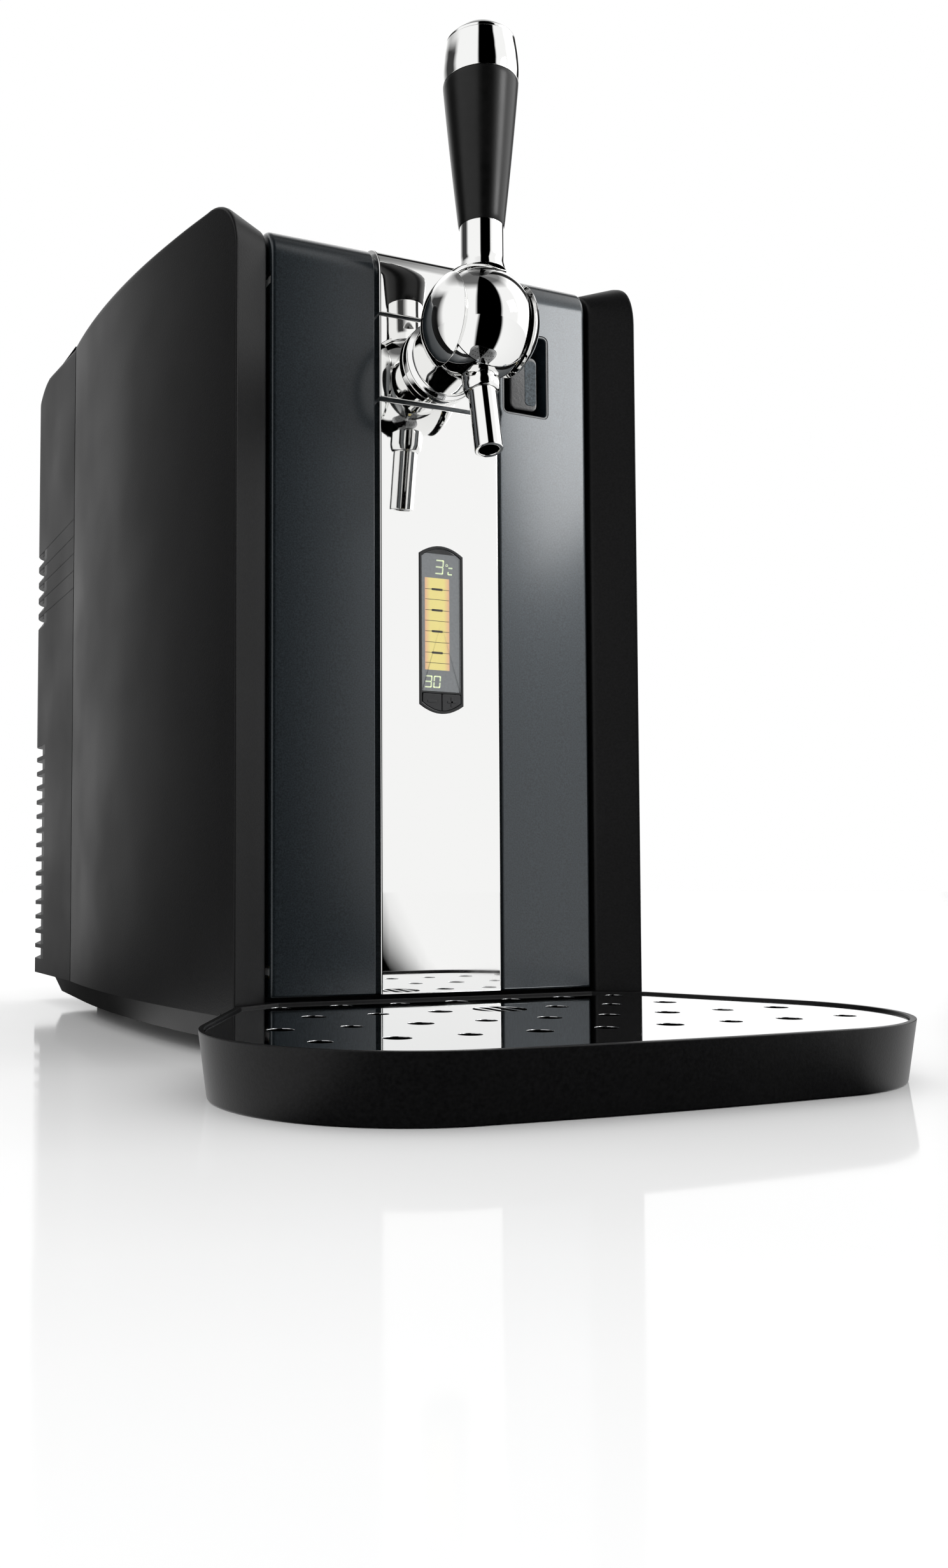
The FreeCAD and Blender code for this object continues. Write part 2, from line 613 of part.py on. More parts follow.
def tray_outline(inset, z, back):
    """The drip tray's plan: straight back stepped round the wings, flared sides, round front corners and a bowed
    front, inset all round."""
    x0 = TRAY_X0 - inset
    x1 = TRAY_X1 - inset
    yf = TRAY_FRONT + inset
    r = TRAY_R - inset
    slope = (x1 - x0) / -yf
    side = V(slope, -1, 0)
    side.normalize()
    wing_y = WING_Y - GAP * 2 - inset
    # the round corner touches the flared side and the front line
    half = math.atan2(side.x, -side.y)
    reach = r * math.tan(math.pi / 4 + half / 2)
    corner = V(x1, yf, z)
    a = corner - side * reach
    b = corner - V(reach, 0, 0)
    c = V(b.x, b.y + r, z)
    mid_dir = (corner - c)
    mid_dir.normalize()
    m = c + mid_dir * r
    start = V(x0 + slope * -wing_y, wing_y, z)
    pts = [V(REVEAL_X - GAP * 2 - inset, back, z), V(WING_X - inset / 2, wing_y, z)]
    right = [
        Part.LineSegment(pts[0], pts[1]).toShape(),
        Part.LineSegment(pts[1], start).toShape(),
        Part.LineSegment(start, a).toShape(),
        Part.Arc(a, m, b).toShape(),
    ]
    front = Part.Arc(b, V(0, yf - TRAY_BOW, z), flip(b)).toShape()
    left = [
        Part.Arc(flip(b), flip(m), flip(a)).toShape(),
        Part.LineSegment(flip(a), flip(start)).toShape(),
        Part.LineSegment(flip(start), flip(pts[1])).toShape(),
        Part.LineSegment(flip(pts[1]), flip(pts[0])).toShape(),
    ]
    closing = Part.LineSegment(flip(pts[0]), pts[0]).toShape()
    return Part.Wire(right + [front] + left + [closing])


def tray():
    """The drip tray: drafted outer walls, a flat floor, a rim, and a ledge that carries the plate."""
    outer = Part.makeLoft([tray_outline(TRAY_DRAFT, 0, TRAY_BACK), tray_outline(0, TRAY_Z, TRAY_BACK)], True, True)
    low = tray_outline(TRAY_DRAFT + TRAY_WALL + PLATE_SEAT, TRAY_FLOOR, TRAY_BACK - TRAY_WALL - PLATE_SEAT)
    mid = tray_outline(TRAY_WALL + PLATE_SEAT, TRAY_Z, TRAY_BACK - TRAY_WALL - PLATE_SEAT)
    well = Part.makeLoft([low, mid], True, True)
    seat = Part.Face(tray_outline(TRAY_WALL, PLATE_Z - PLATE_T, PLATE_BACK + PLATE_SEAT / 2))
    return one(outer.cut(well).cut(seat.extrude(V(0, 0, TRAY_Z))))


def tray_plate():
    """The bright plate of the tray, with staggered holes and a larger drain in the middle."""
    face = Part.Face(tray_outline(PLATE_IN, PLATE_Z - PLATE_T, PLATE_BACK))
    plate = face.extrude(V(0, 0, PLATE_T))
    for row in range(4):
        y = HOLE_ROW0 - HOLE_ROW * row
        n = 3 + row // 2
        for k in range(-n, n + 1):
            if row == 1 and k == 0:
                continue
            r = HOLE_R if (k + row) % 2 == 0 else HOLE_R_SMALL
            plate = plate.cut(Part.makeCylinder(r, TRAY_Z, V(k * HOLE_PITCH, y, PLATE_Z - PLATE_T - WALL)))
    centre = V(0, HOLE_ROW0 - HOLE_ROW, PLATE_Z - PLATE_T - WALL)
    drain = Part.makeCylinder(DRAIN_R, TRAY_Z, centre)
    for k in (-1, 0, 1):
        x = k * DRAIN_R / 2
        drain = drain.cut(box(x - DRAIN_BAR / 2, x + DRAIN_BAR / 2, centre.y - DRAIN_R * 2,
                              centre.y + DRAIN_R * 2, 0, TRAY_Z * 2))
    return one(plate.cut(drain))


def ball_half(r, x, y0, y1):
    """A slice of a sphere round the tap's centre."""
    ball = Part.makeSphere(r, V(0, TAP_Y, TAP_Z))
    return ball.common(box(-x, x, TAP_Y + y0, TAP_Y + y1, TAP_Z - r * 2, TAP_Z + r * 2))


def tap_body():
    """The fixed part of the tap: flanged arm, middle slice of the ball with its chamber, bores for the two pivot
    pins, the socket of the spout and the bore for the beer."""
    face_y = door_y(0, 0) - STRIP_PROUD
    ball = ball_half(BALL_R, BALL_X, DOME_Y, BALL_R)
    arm = rod(ARM_R, (0, face_y, ARM_Z), (0, TAP_Y + ARM_R, ARM_Z))
    flange = rod(ARM_FLANGE_R, (0, face_y, ARM_Z), (0, face_y - ARM_FLANGE_T, ARM_Z))
    shape = ball.fuse(arm).fuse(flange).fuse(rod(HOSE_R + WALL, (0, face_y, ARM_Z), (0, DOOR_BACK, ARM_Z)))
    shape = shape.cut(yoke_room())
    shape = shape.cut(rod(COLLAR_R, (0, TAP_Y, TAP_Z - BALL_R * 2), (0, TAP_Y, COLLAR_Z1 + WALL)))
    shape = shape.cut(spout(COLLAR_R + FIT, COLLAR_Z0, COLLAR_Z1))
    shape = shape.cut(rod(SPOUT_BORE, (0, TAP_Y, TAP_Z - BALL_R), (0, TAP_Y, TAP_Z)))
    shape = shape.cut(rod(HOSE_R, (0, TAP_Y, ARM_Z), (0, DOOR_BACK * 2, ARM_Z)))
    shape = shape.cut(rod(TAP_PIN_R, (-BALL_R, TAP_Y, TAP_Z), (-BALL_X + TAP_PIN_IN, TAP_Y, TAP_Z)))
    shape = shape.cut(rod(TAP_PIN_R, (BALL_R, TAP_Y, TAP_Z), (BALL_X - TAP_PIN_IN, TAP_Y, TAP_Z)))
    y, z = dome_pin_at()
    eye = rod(DOME_LUG_R, (-DOME_EYE, y, z), (DOME_EYE, y, z))
    shape = shape.fuse(eye.common(ball_half(BALL_R, BALL_X, -BALL_R, BALL_R)))
    for x in (DOME_EYE, -DOME_LUG - GAP):
        shape = shape.cut(rod(DOME_LUG_R + GAP / 2, (x, y, z), (x + DOME_LUG + GAP - DOME_EYE, y, z)))
    shape = shape.cut(rod(DOME_PIN_R, (-BALL_X, y, z), (BALL_X, y, z)))
    return one(shape)


def yoke_room():
    """The room that the yoke and its side caps sweep round the ball."""
    ball = Part.makeSphere(BALL_R * 2, V(0, TAP_Y, TAP_Z)).cut(Part.makeSphere(YOKE_R0 - FIT, V(0, TAP_Y, TAP_Z)))
    arm = box(-BALL_R * 2, BALL_R * 2, TAP_Y + ARM_R * 0.9, 0, 0, TOP_REAR_Z)
    sides = box(BALL_X, BALL_R * 2, -SIDE_X, TAP_Y + YOKE_R1 + GAP, 0, TOP_REAR_Z)
    sides = sides.fuse(mirror(sides))
    tube = rod(YOKE_R1 + GAP, (-BALL_R * 2, TAP_Y, TAP_Z), (BALL_R * 2, TAP_Y, TAP_Z))
    return sides.common(tube).fuse(ball.cut(arm))


def dome_pin_at():
    """Depth and height of the dome's hinge pin."""
    return TAP_Y + DOME_Y, TAP_Z + DOME_PIN_Z


def dome():
    """The front of the ball: a thin cap that swings forward and down to give access to the beer line. Two lugs at
    its foot turn on the pin, and the shell is cut back between and beside them so that it can swing."""
    shape = ball_half(BALL_R, BALL_X, -BALL_R, DOME_Y - DOME_GAP)
    shape = shape.cut(Part.makeSphere(BALL_R - DOME_T, V(0, TAP_Y, TAP_Z)))
    y, z = dome_pin_at()
    eye = DOME_EYE + FIT * 2
    shape = shape.cut(box(-DOME_NOTCH_X, DOME_NOTCH_X, y - DOME_NOTCH_Y, 0, 0, z))
    shape = shape.cut(box(-eye, eye, y - DOME_NOTCH_Y, 0, 0, z + DOME_NOTCH_Y))
    ball = Part.makeSphere(BALL_R, V(0, TAP_Y, TAP_Z))
    for x in (eye, -DOME_LUG):
        wide = DOME_LUG - eye
        lug = rod(DOME_LUG_R, (x, y, z), (x + wide, y, z))
        lug = lug.fuse(box(x, x + wide, y - DOME_NOTCH_Y * 1.3, y, z - DOME_LUG_R, z + DOME_LUG_R))
        shape = shape.fuse(lug.common(ball))
    shape = shape.cut(rod(DOME_PIN_R + FIT, (-BALL_R, y, z), (BALL_R, y, z)))
    return one(shape)


def yoke():
    """The bright yoke of the handle: a band over the ball, a round cap on each side of it, and a short stub that
    the handle's neck stands on."""
    centre = V(0, TAP_Y, TAP_Z)
    ball = Part.makeSphere(YOKE_R1, centre)
    hollow = Part.makeSphere(YOKE_R0, centre)
    band = ball.cut(hollow).common(box(-BALL_R * 2, BALL_R * 2, HANDLE_Y - YOKE_HALF, HANDLE_Y + YOKE_HALF,
                                       TAP_Z, TOP_REAR_Z * 2))
    cap = ball.common(box(HUB_X, BALL_R * 2, -SIDE_X, 0, 0, TOP_REAR_Z * 2))
    shape = band.fuse(cap).fuse(mirror(cap))
    stub = rod(NECK_R, (0, HANDLE_Y, TAP_Z + YOKE_R0 * 0.9), (0, HANDLE_Y, TAP_Z + YOKE_R1 + WALL)).cut(hollow)
    shape = shape.fuse(stub)
    pin = rod(TAP_PIN_R + FIT, (-BALL_R, TAP_Y, TAP_Z), (BALL_R, TAP_Y, TAP_Z))
    pin = pin.common(box(-HUB_X - TAP_PIN_IN, HUB_X + TAP_PIN_IN, -SIDE_X, 0, 0, TOP_REAR_Z * 2))
    return one(shape.cut(pin))


def turned(points, y):
    """A turned piece round the handle's axis, from (radius, height) points: the outline in order."""
    pts = [V(r, y, z) for r, z in points]
    pts.append(pts[0])
    return Part.Face(Part.makePolygon(pts)).revolve(V(0, y, 0), V(0, 0, 1), 360)


def grip():
    """The dark grip: waisted and wider towards the top."""
    low = V(GRIP_R0, HANDLE_Y, NECK_Z1)
    mid = V(GRIP_WAIST, HANDLE_Y, (NECK_Z1 + GRIP_Z1) / 2)
    top = V(GRIP_R1, HANDLE_Y, GRIP_Z1)
    edges = [
        Part.LineSegment(V(0, HANDLE_Y, NECK_Z1), low).toShape(),
        Part.Arc(low, mid, top).toShape(),
        Part.LineSegment(top, V(0, HANDLE_Y, GRIP_Z1)).toShape(),
        Part.LineSegment(V(0, HANDLE_Y, GRIP_Z1), V(0, HANDLE_Y, NECK_Z1)).toShape(),
    ]
    return Part.Face(Part.Wire(edges)).revolve(V(0, HANDLE_Y, 0), V(0, 0, 1), 360)


def handle_cap():
    """The domed cap plate on the handle, under a large sphere."""
    rise = CAP_Z1 - BAND_Z1 - WALL
    r = (BAND_R * BAND_R + rise * rise) / (2 * rise)
    disc = rod(BAND_R, (0, HANDLE_Y, BAND_Z1), (0, HANDLE_Y, CAP_Z1))
    return one(disc.common(Part.makeSphere(r, V(0, HANDLE_Y, CAP_Z1 - r))))


def spout_line(z):
    """The spout's axis: straight down in the ball, and leaning forward below it."""
    return TAP_Y - math.tan(math.radians(SPOUT_TILT)) * (COLLAR_Z1 - z)


def spout(r, z0, z1):
    """A stretch of the leaning spout between two heights, cut level at both ends."""
    low = (0, spout_line(z0 - CORNER_R), z0 - CORNER_R)
    high = (0, spout_line(z1 + CORNER_R), z1 + CORNER_R)
    return rod(r, low, high).common(box(-SIDE_X, SIDE_X, -SIDE_X, SIDE_X, z0, z1))


def collar():
    """The ring round the root of the spout, with the level shank that sits in the ball."""
    shape = spout(COLLAR_R, COLLAR_Z0, TAP_Z - BALL_R + WALL / 2)
    shank = rod(COLLAR_R, (0, TAP_Y, TAP_Z - BALL_R), (0, TAP_Y, COLLAR_Z1 + WALL))
    return one(shape.fuse(shank).cut(spout(SPOUT_R, 0, COLLAR_Z1 * 2)))


def display_case():
    """The display's case in the strip: arched rim, a sill between window and buttons, and a back."""
    y0 = door_y(0, 0) - STRIP_PROUD - FIT * 4
    shape = pill(0, y0, y0 + PILL_DEPTH + WALL)
    inside = pill(-PILL_RIM, y0 - WALL, y0 + PILL_DEPTH)
    sill = box(-PILL_X, PILL_X, y0, y0 + PILL_DEPTH + WALL, BUTTON_Z1 + BUTTON_GAP, GLASS_Z0 - FIT)
    return one(shape.cut(inside).fuse(sill))


def display_glass():
    """The smoked window."""
    y0 = door_y(0, 0) - STRIP_PROUD - FIT * 4
    x = PILL_X - PILL_RIM - FIT
    body = pill(-PILL_RIM - FIT, y0 + FIT * 2, y0 + FIT * 2 + GLASS_T)
    return one(body.common(box(-x, x, -SIDE_X, SIDE_X, GLASS_Z0, PILL_Z1)))


def display_screen():
    """The screen module behind the window."""
    y0 = door_y(0, 0) - STRIP_PROUD - FIT * 4 + FIT * 2 + GLASS_T
    x = PILL_X - PILL_RIM - FIT
    return box(-x, x, y0, y0 + WALL, GLASS_Z0, GLASS_Z1 - PILL_ARCH)


def button(sx):
    """A push button with its plunger; the lower corners follow the case's arch."""
    y0 = door_y(0, 0) - STRIP_PROUD - BUTTON_PROUD
    low = pill(-PILL_RIM - BUTTON_GAP, y0, y0 + WALL)
    x0, x1 = (BUTTON_GAP / 2, BUTTON_X) if sx > 0 else (-BUTTON_X, -BUTTON_GAP / 2)
    cap = low.common(box(x0, x1, -SIDE_X, SIDE_X, 0, BUTTON_Z1))
    mid = (x0 + x1) / 2
    z = (BUTTON_Z0 + BUTTON_Z1) / 2 + GAP
    deep = door_y(0, 0) - STRIP_PROUD - FIT * 4 + PILL_DEPTH - BUTTON_TRAVEL - FIT * 4
    return one(cap.fuse(rod(BUTTON_X / 6, (mid, y0 + FIT, z), (mid, deep, z))))


def release_cup():
    """The recess beside the tap, with a bore for the lever's stem."""
    y0 = door_y(REC_X0, 0) + GAP
    cup = recess(0, y0, REC_DEPTH).cut(recess(-REC_WALL, y0 - WALL, REC_DEPTH - REC_WALL))
    x, z = lever_centre()
    return one(cup.cut(rod(STEM_R + FIT, (x, 0, z), (x, SIDE_X, z))))


def lever_centre():
    """Middle of the release lever."""
    return (LEVER_X0 + LEVER_X1) / 2, (LEVER_Z0 + LEVER_Z1) / 2


def release_lever():
    """The push lever of the door catch: a paddle on a stem."""
    x, z = lever_centre()
    y1 = REC_DEPTH - REC_WALL - LEVER_TRAVEL - GAP / 2
    paddle = box(LEVER_X0, LEVER_X1, y1 - LEVER_T, y1, LEVER_Z0, LEVER_Z1)
    return one(paddle.fuse(rod(STEM_R, (x, y1 - FIT, z), (x, DOOR_BACK - GAP, z))))


def latch_hook():
    """The hook on the door's back that goes into a slot of the frame."""
    x0 = LATCH_X0
    shape = box(x0, x0 + LATCH_W, DOOR_BACK + LINER_T, JAMB_Y + FRAME_T + LATCH_HEAD, LATCH_Z0, LATCH_Z0 + LATCH_T)
    return shape.fuse(box(x0, x0 + LATCH_W, JAMB_Y + FRAME_T + GAP, JAMB_Y + FRAME_T + LATCH_HEAD,
                          LATCH_Z0, LATCH_Z0 + LATCH_T * 1.8)).removeSplitter()


def latch_slot(y0, y1):
    """The slot for the hook, long enough for the hook's swing."""
    return box(LATCH_X0 - LATCH_ROOM, LATCH_X0 + LATCH_W + LATCH_ROOM, y0, y1,
               LATCH_Z0 - GAP, LATCH_Z0 + LATCH_T * 1.8 + GAP)


def door_back_cut(shape):
    """Takes the hinge arms' room and the display and release openings out of an inner piece of the door."""
    for z in (ARM_LOW_Z, ARM_HIGH_Z):
        shape = shape.cut(hinge_room(z))
        shape = shape.cut(box(-DOOR_X, PIN_X + POST_W + FIT, -SIDE_X, PIN_Y + POST_W + FIT, z - POST_H, z + POST_H))
    shape = shape.cut(pill(FIT, -SIDE_X, display_back()))
    shape = shape.cut(recess(FIT, -SIDE_X, REC_DEPTH))
    x, z = lever_centre()
    shape = shape.cut(rod(STEM_R * 1.5, (x, -SIDE_X, z), (x, SIDE_X, z)))
    return shape.cut(rod(HOSE_R + WALL, (0, -SIDE_X, ARM_Z), (0, SIDE_X, ARM_Z)))


def display_back():
    """Depth of the display case's back."""
    return door_y(0, 0) - STRIP_PROUD - FIT * 4 + PILL_DEPTH + WALL


def door_foam():
    """Insulation inside the door."""
    front = WALL + CHANNEL_DEPTH + FIT
    return one(door_back_cut(box(-DOOR_FOAM_X, DOOR_FOAM_X, front, DOOR_BACK, DOOR_FOAM_Z0, DOOR_FOAM_Z1)))


def door_liner():
    """The inner skin of the door."""
    x = DOOR_X - FIT * 4
    shape = box(-x, x, DOOR_BACK, DOOR_BACK + LINER_T, DOOR_Z0 + GAP, FRAME_Z1 - WALL - FIT)
    shape = door_back_cut(shape)
    return one(shape.cut(box(-x, PIN_X + ARM_W + ARM_ROOM, 0, SIDE_X, 0, ARM_LOW_Z + POST_H)).cut(
        box(-x, PIN_X + ARM_W + ARM_ROOM, 0, SIDE_X, ARM_HIGH_Z - POST_H, TOP_REAR_Z)))


def chamber_shape(grow, y0, z0, z1):
    """The keg chamber as a solid: a round well with a straight mouth to the front."""
    well = Part.makeCylinder(CHAMBER_R + grow, z1 - z0, V(0, CHAMBER_Y, z0))
    return well.fuse(box(-OPEN_X - grow, OPEN_X + grow, y0, CHAMBER_Y, z0, z1)).removeSplitter()


def chamber_liner():
    """The thin wall of the keg chamber."""
    y0 = JAMB_Y + FRAME_T
    outer = chamber_shape(LINER, y0, OPEN_Z0 - LINER, OPEN_Z1 + LINER)
    outer = outer.common(box(-SIDE_X, SIDE_X, y0, BACK_Y, 0, TOP_REAR_Z))
    shape = outer.cut(chamber_shape(0, 0, OPEN_Z0, OPEN_Z1))
    shape = shape.cut(rod(AIR_R, (0, CHAMBER_Y, OPEN_Z1 - LINER), (0, CHAMBER_Y, TOP_REAR_Z)))
    return one(shape)


def chamber_foam():
    """The insulation round the chamber, cut back for the cold plate, the heat sink, the air line and the latch."""
    y0 = JAMB_Y + FRAME_T
    outer = Part.makeCylinder(FOAM_R, FOAM_TOP - CHASSIS_Z, V(0, CHAMBER_Y, CHASSIS_Z))
    outer = outer.fuse(box(-FOAM_X, FOAM_X, y0, CHAMBER_Y, CHASSIS_Z, FOAM_TOP))
    outer = outer.common(box(-SIDE_X, SIDE_X, y0, BACK_Y, 0, TOP_REAR_Z))
    shape = outer.cut(chamber_shape(LINER, 0, OPEN_Z0 - LINER, OPEN_Z1 + LINER))
    shape = shape.cut(box(-COLD_W / 2 - FIT, COLD_W / 2 + FIT, CHAMBER_Y, sink_y(), COLD_Z0 - FIT,
                          COLD_Z0 + COLD_W + FIT))
    mid = COLD_Z0 + COLD_W / 2
    shape = shape.cut(box(-SINK_W / 2 - FIT, SINK_W / 2 + FIT, sink_y(), BACK_Y,
                          mid - SINK_H / 2 - FIT, mid + SINK_H / 2 + FIT))
    shape = shape.cut(rod(AIR_R, (0, CHAMBER_Y, OPEN_Z1), (0, CHAMBER_Y, TOP_REAR_Z)))
    shape = shape.cut(latch_slot(y0 - WALL, y0 + LATCH_HEAD * 1.5))
    return one(shape)


def frame():
    """The front frame of the chamber, with the slot for the latch."""
    shape = box(-FRAME_X, FRAME_X, JAMB_Y, JAMB_Y + FRAME_T, FRAME_Z0, FRAME_Z1)
    shape = shape.cut(box(-OPEN_X, OPEN_X, 0, SIDE_X, OPEN_Z0, OPEN_Z1))
    for z in (ARM_LOW_Z, ARM_HIGH_Z):
        shape = shape.fuse(hinge_arm(z))
    return one(shape.cut(latch_slot(0, SIDE_X)))


def keg_seat():
    """The ring that the keg stands on, with a low lip round its back."""
    base_ring = Part.makeCylinder(KEG_SEAT_R + KEG_LIP_T, KEG_SEAT_H, V(0, CHAMBER_Y, OPEN_Z0))
    lip = Part.makeCylinder(KEG_SEAT_R + KEG_LIP_T, KEG_LIP_H, V(0, CHAMBER_Y, OPEN_Z0))
    lip = lip.cut(Part.makeCylinder(KEG_SEAT_R, KEG_LIP_H * 2, V(0, CHAMBER_Y, OPEN_Z0 - WALL)))
    lip = lip.common(box(-SIDE_X, SIDE_X, CHAMBER_Y, SIDE_X * 2, 0, SIDE_X))
    shape = base_ring.fuse(lip)
    return one(shape.cut(Part.makeCylinder(KEG_SEAT_R * 0.7, KEG_LIP_H, V(0, CHAMBER_Y, OPEN_Z0 - WALL))))


def sink_y():
    """Front plane of the heat sink."""
    return CHAMBER_Y + CHAMBER_R + LINER + COLD_T + PELT_T


def cold_plate():
    """The aluminium block between the chamber wall and the cooling module."""
    y1 = sink_y() - PELT_T
    block = box(-COLD_W / 2, COLD_W / 2, CHAMBER_Y + CHAMBER_R * 0.8, y1, COLD_Z0, COLD_Z0 + COLD_W)
    return one(block.cut(Part.makeCylinder(CHAMBER_R + LINER, TOP_REAR_Z, V(0, CHAMBER_Y, 0))))


def peltier():
    """The thermoelectric cooling module."""
    y1 = sink_y()
    z = COLD_Z0 + (COLD_W - PELT_W) / 2
    return box(-PELT_W / 2, PELT_W / 2, y1 - PELT_T, y1, z, z + PELT_W)


def heat_sink():
    """The finned heat sink."""
    mid = COLD_Z0 + COLD_W / 2
    y0 = sink_y()
    shape = box(-SINK_W / 2, SINK_W / 2, y0, y0 + SINK_BASE, mid - SINK_H / 2, mid + SINK_H / 2)
    step = (SINK_W - SINK_FIN_T) / (SINK_N - 1)
    for i in range(SINK_N):
        x = -SINK_W / 2 + step * i
        shape = shape.fuse(box(x, x + SINK_FIN_T, y0 + SINK_BASE - FIT, y0 + SINK_BASE + SINK_FIN,
                               mid - SINK_H / 2, mid + SINK_H / 2))
    return one(shape)


def fan_frame():
    """The square fan frame with three spokes, a motor boss and the shaft's bore."""
    mid = COLD_Z0 + COLD_W / 2
    y0 = sink_y() + SINK_BASE + SINK_FIN
    y1 = y0 + FAN_T
    shape = box(-FAN_W / 2, FAN_W / 2, y0, y1, mid - FAN_W / 2, mid + FAN_W / 2)
    shape = shape.cut(rod(FAN_BORE, (0, y0 - 1, mid), (0, y1 + 1, mid)))
    boss = rod(FAN_HUB, (0, y0, mid), (0, y0 + WALL, mid))
    for i in range(3):
        spoke = box(-WALL, WALL, y0, y0 + WALL, mid, mid + FAN_BORE + FIT * 4)
        spoke.rotate(V(0, 0, mid), V(0, 1, 0), 120 * i)
        boss = boss.fuse(spoke)
    shape = shape.fuse(boss)
    return one(shape.cut(rod(SHAFT_R + FIT, (0, y0 - 1, mid), (0, y1 + 1, mid))))


def fan_rotor():
    """The fan's rotor: hub, blades and shaft."""
    mid = COLD_Z0 + COLD_W / 2
    y0 = sink_y() + SINK_BASE + SINK_FIN + WALL + GAP
    y1 = y0 + FAN_T - WALL - GAP * 3
    shape = rod(FAN_HUB, (0, y0, mid), (0, y1, mid)).fuse(rod(SHAFT_R, (0, y0 - WALL - GAP / 2, mid), (0, y1, mid)))
    for i in range(FAN_N):
        blade = box(-FAN_BLADE_T / 2, FAN_BLADE_T / 2, y0 + GAP, y1 - GAP, FAN_HUB * 0.8, FAN_BLADE_R)
        blade.rotate(V(0, (y0 + y1) / 2, 0), V(0, 0, 1), 32)
        blade.rotate(V(0, 0, 0), V(0, 1, 0), 360.0 / FAN_N * i)
        blade.translate(V(0, 0, mid))
        shape = shape.fuse(blade)
    return one(shape)


def power_supply():
    """The closed power supply on the base."""
    floor = BASE_LOW_Z + BASE_FLOOR
    return box(-PSU_W / 2, PSU_W / 2, PSU_Y, PSU_Y + PSU_D, floor, floor + PSU_H)


def pump_place():
    """Start and end of the air pump's axis."""
    z = BASE_LOW_Z + BASE_FLOOR + PUMP_R
    y = PSU_Y + PSU_D + PUMP_R + GAP * 4
    return (-PUMP_L / 2, y, z), (PUMP_L / 2, y, z)


def air_pump():
    """The small air pump that keeps the keg under pressure, with its outlet."""
    a, b = pump_place()
    feet = box(-PUMP_L / 2, PUMP_L / 2, a[1] - PUMP_R / 2, a[1] + PUMP_R / 2, BASE_LOW_Z + BASE_FLOOR, a[2])
    outlet = rod(AIR_R, (AIR_X, a[1], a[2]), (AIR_X, a[1], a[2] + PUMP_R + WALL))
    return one(rod(PUMP_R, a, b).fuse(feet).fuse(outlet))


def tube(points, bend, r):
    """A round hose through corner points, with an arc of radius bend at each inner corner."""
    pts = [V(*p) for p in points]
    edges = []
    at = pts[0]
    for i in range(1, len(pts) - 1):
        u = pts[i] - pts[i - 1]
        w = pts[i + 1] - pts[i]
        u.normalize()
        w.normalize()
        turn = math.acos(max(-1, min(1, u.dot(w))))
        cut = bend * math.tan(turn / 2)
        p = pts[i] - u * cut
        q = pts[i] + w * cut
        inward = w - u
        inward.normalize()
        centre = pts[i] + inward * (bend / math.cos(turn / 2))
        m = pts[i] - centre
        m.normalize()
        edges.append(Part.LineSegment(at, p).toShape())
        edges.append(Part.Arc(p, centre + m * bend, q).toShape())
        at = q
    edges.append(Part.LineSegment(at, pts[-1]).toShape())
    path = Part.Wire(edges)
    start = pts[1] - pts[0]
    ring_wire = Part.Wire([Part.makeCircle(r, pts[0], start)])
    return path.makePipeShell([ring_wire], True, False)


def air_hose():
    """The air line from the pump up behind the insulation and over it to the keg coupler."""
    a, b = pump_place()
    z0 = a[2] + PUMP_R + WALL
    top = AIR_Z1
    return tube([(AIR_X, a[1], z0), (AIR_X, a[1], top), (AIR_X, CHAMBER_Y + AIR_BEND * 3, top),
                 (0, CHAMBER_Y + AIR_BEND * 1.2, top), (0, CHAMBER_Y, top),
                 (0, CHAMBER_Y, OPEN_Z1 - LINER / 2)], AIR_BEND * 0.8, AIR_R - FIT)


def coupler():
    """The push coupler on the chamber's ceiling, where the keg's air fitting goes."""
    shape = Part.makeCylinder(COUPLER_R, COUPLER_H, V(0, CHAMBER_Y, OPEN_Z1 - COUPLER_H))
    return one(shape.cut(Part.makeCylinder(AIR_R, COUPLER_H * 3, V(0, CHAMBER_Y, OPEN_Z1 - COUPLER_H * 2))))


def board_carrier():
    """The carrier of the control board, on top of the insulation."""
    y0 = BOARD_Y
    shape = box(-BOARD_X - CARRIER_W / 2, -BOARD_X + CARRIER_W / 2, y0, y0 + CARRIER_D, FOAM_TOP, FOAM_TOP + CARRIER_T)
    for x in (-BOARD_X - BOARD_W / 2 + CARRIER_POST, -BOARD_X + BOARD_W / 2 - CARRIER_POST):
        for y in (y0 + CARRIER_POST * 2, y0 + CARRIER_D - CARRIER_POST * 2):
            shape = shape.fuse(rod(CARRIER_POST / 2, (x, y, FOAM_TOP + CARRIER_T - FIT),
                                   (x, y, FOAM_TOP + CARRIER_T + CARRIER_POST)))
    return one(shape)


def control_board():
    """The control board with three components."""
    z = FOAM_TOP + CARRIER_T + CARRIER_POST
    y0 = BOARD_Y + (CARRIER_D - BOARD_D) / 2
    x0 = -BOARD_X - BOARD_W / 2
    shape = box(x0, x0 + BOARD_W, y0, y0 + BOARD_D, z, z + BOARD_T)
    for i in range(3):
        x = x0 + CARRIER_POST * (2 + 5 * i)
        shape = shape.fuse(box(x, x + CARRIER_POST * 2, y0 + CARRIER_POST * 3, y0 + CARRIER_POST * 6,
                               z + BOARD_T - FIT, z + CARRIER_POST))
    return one(shape)


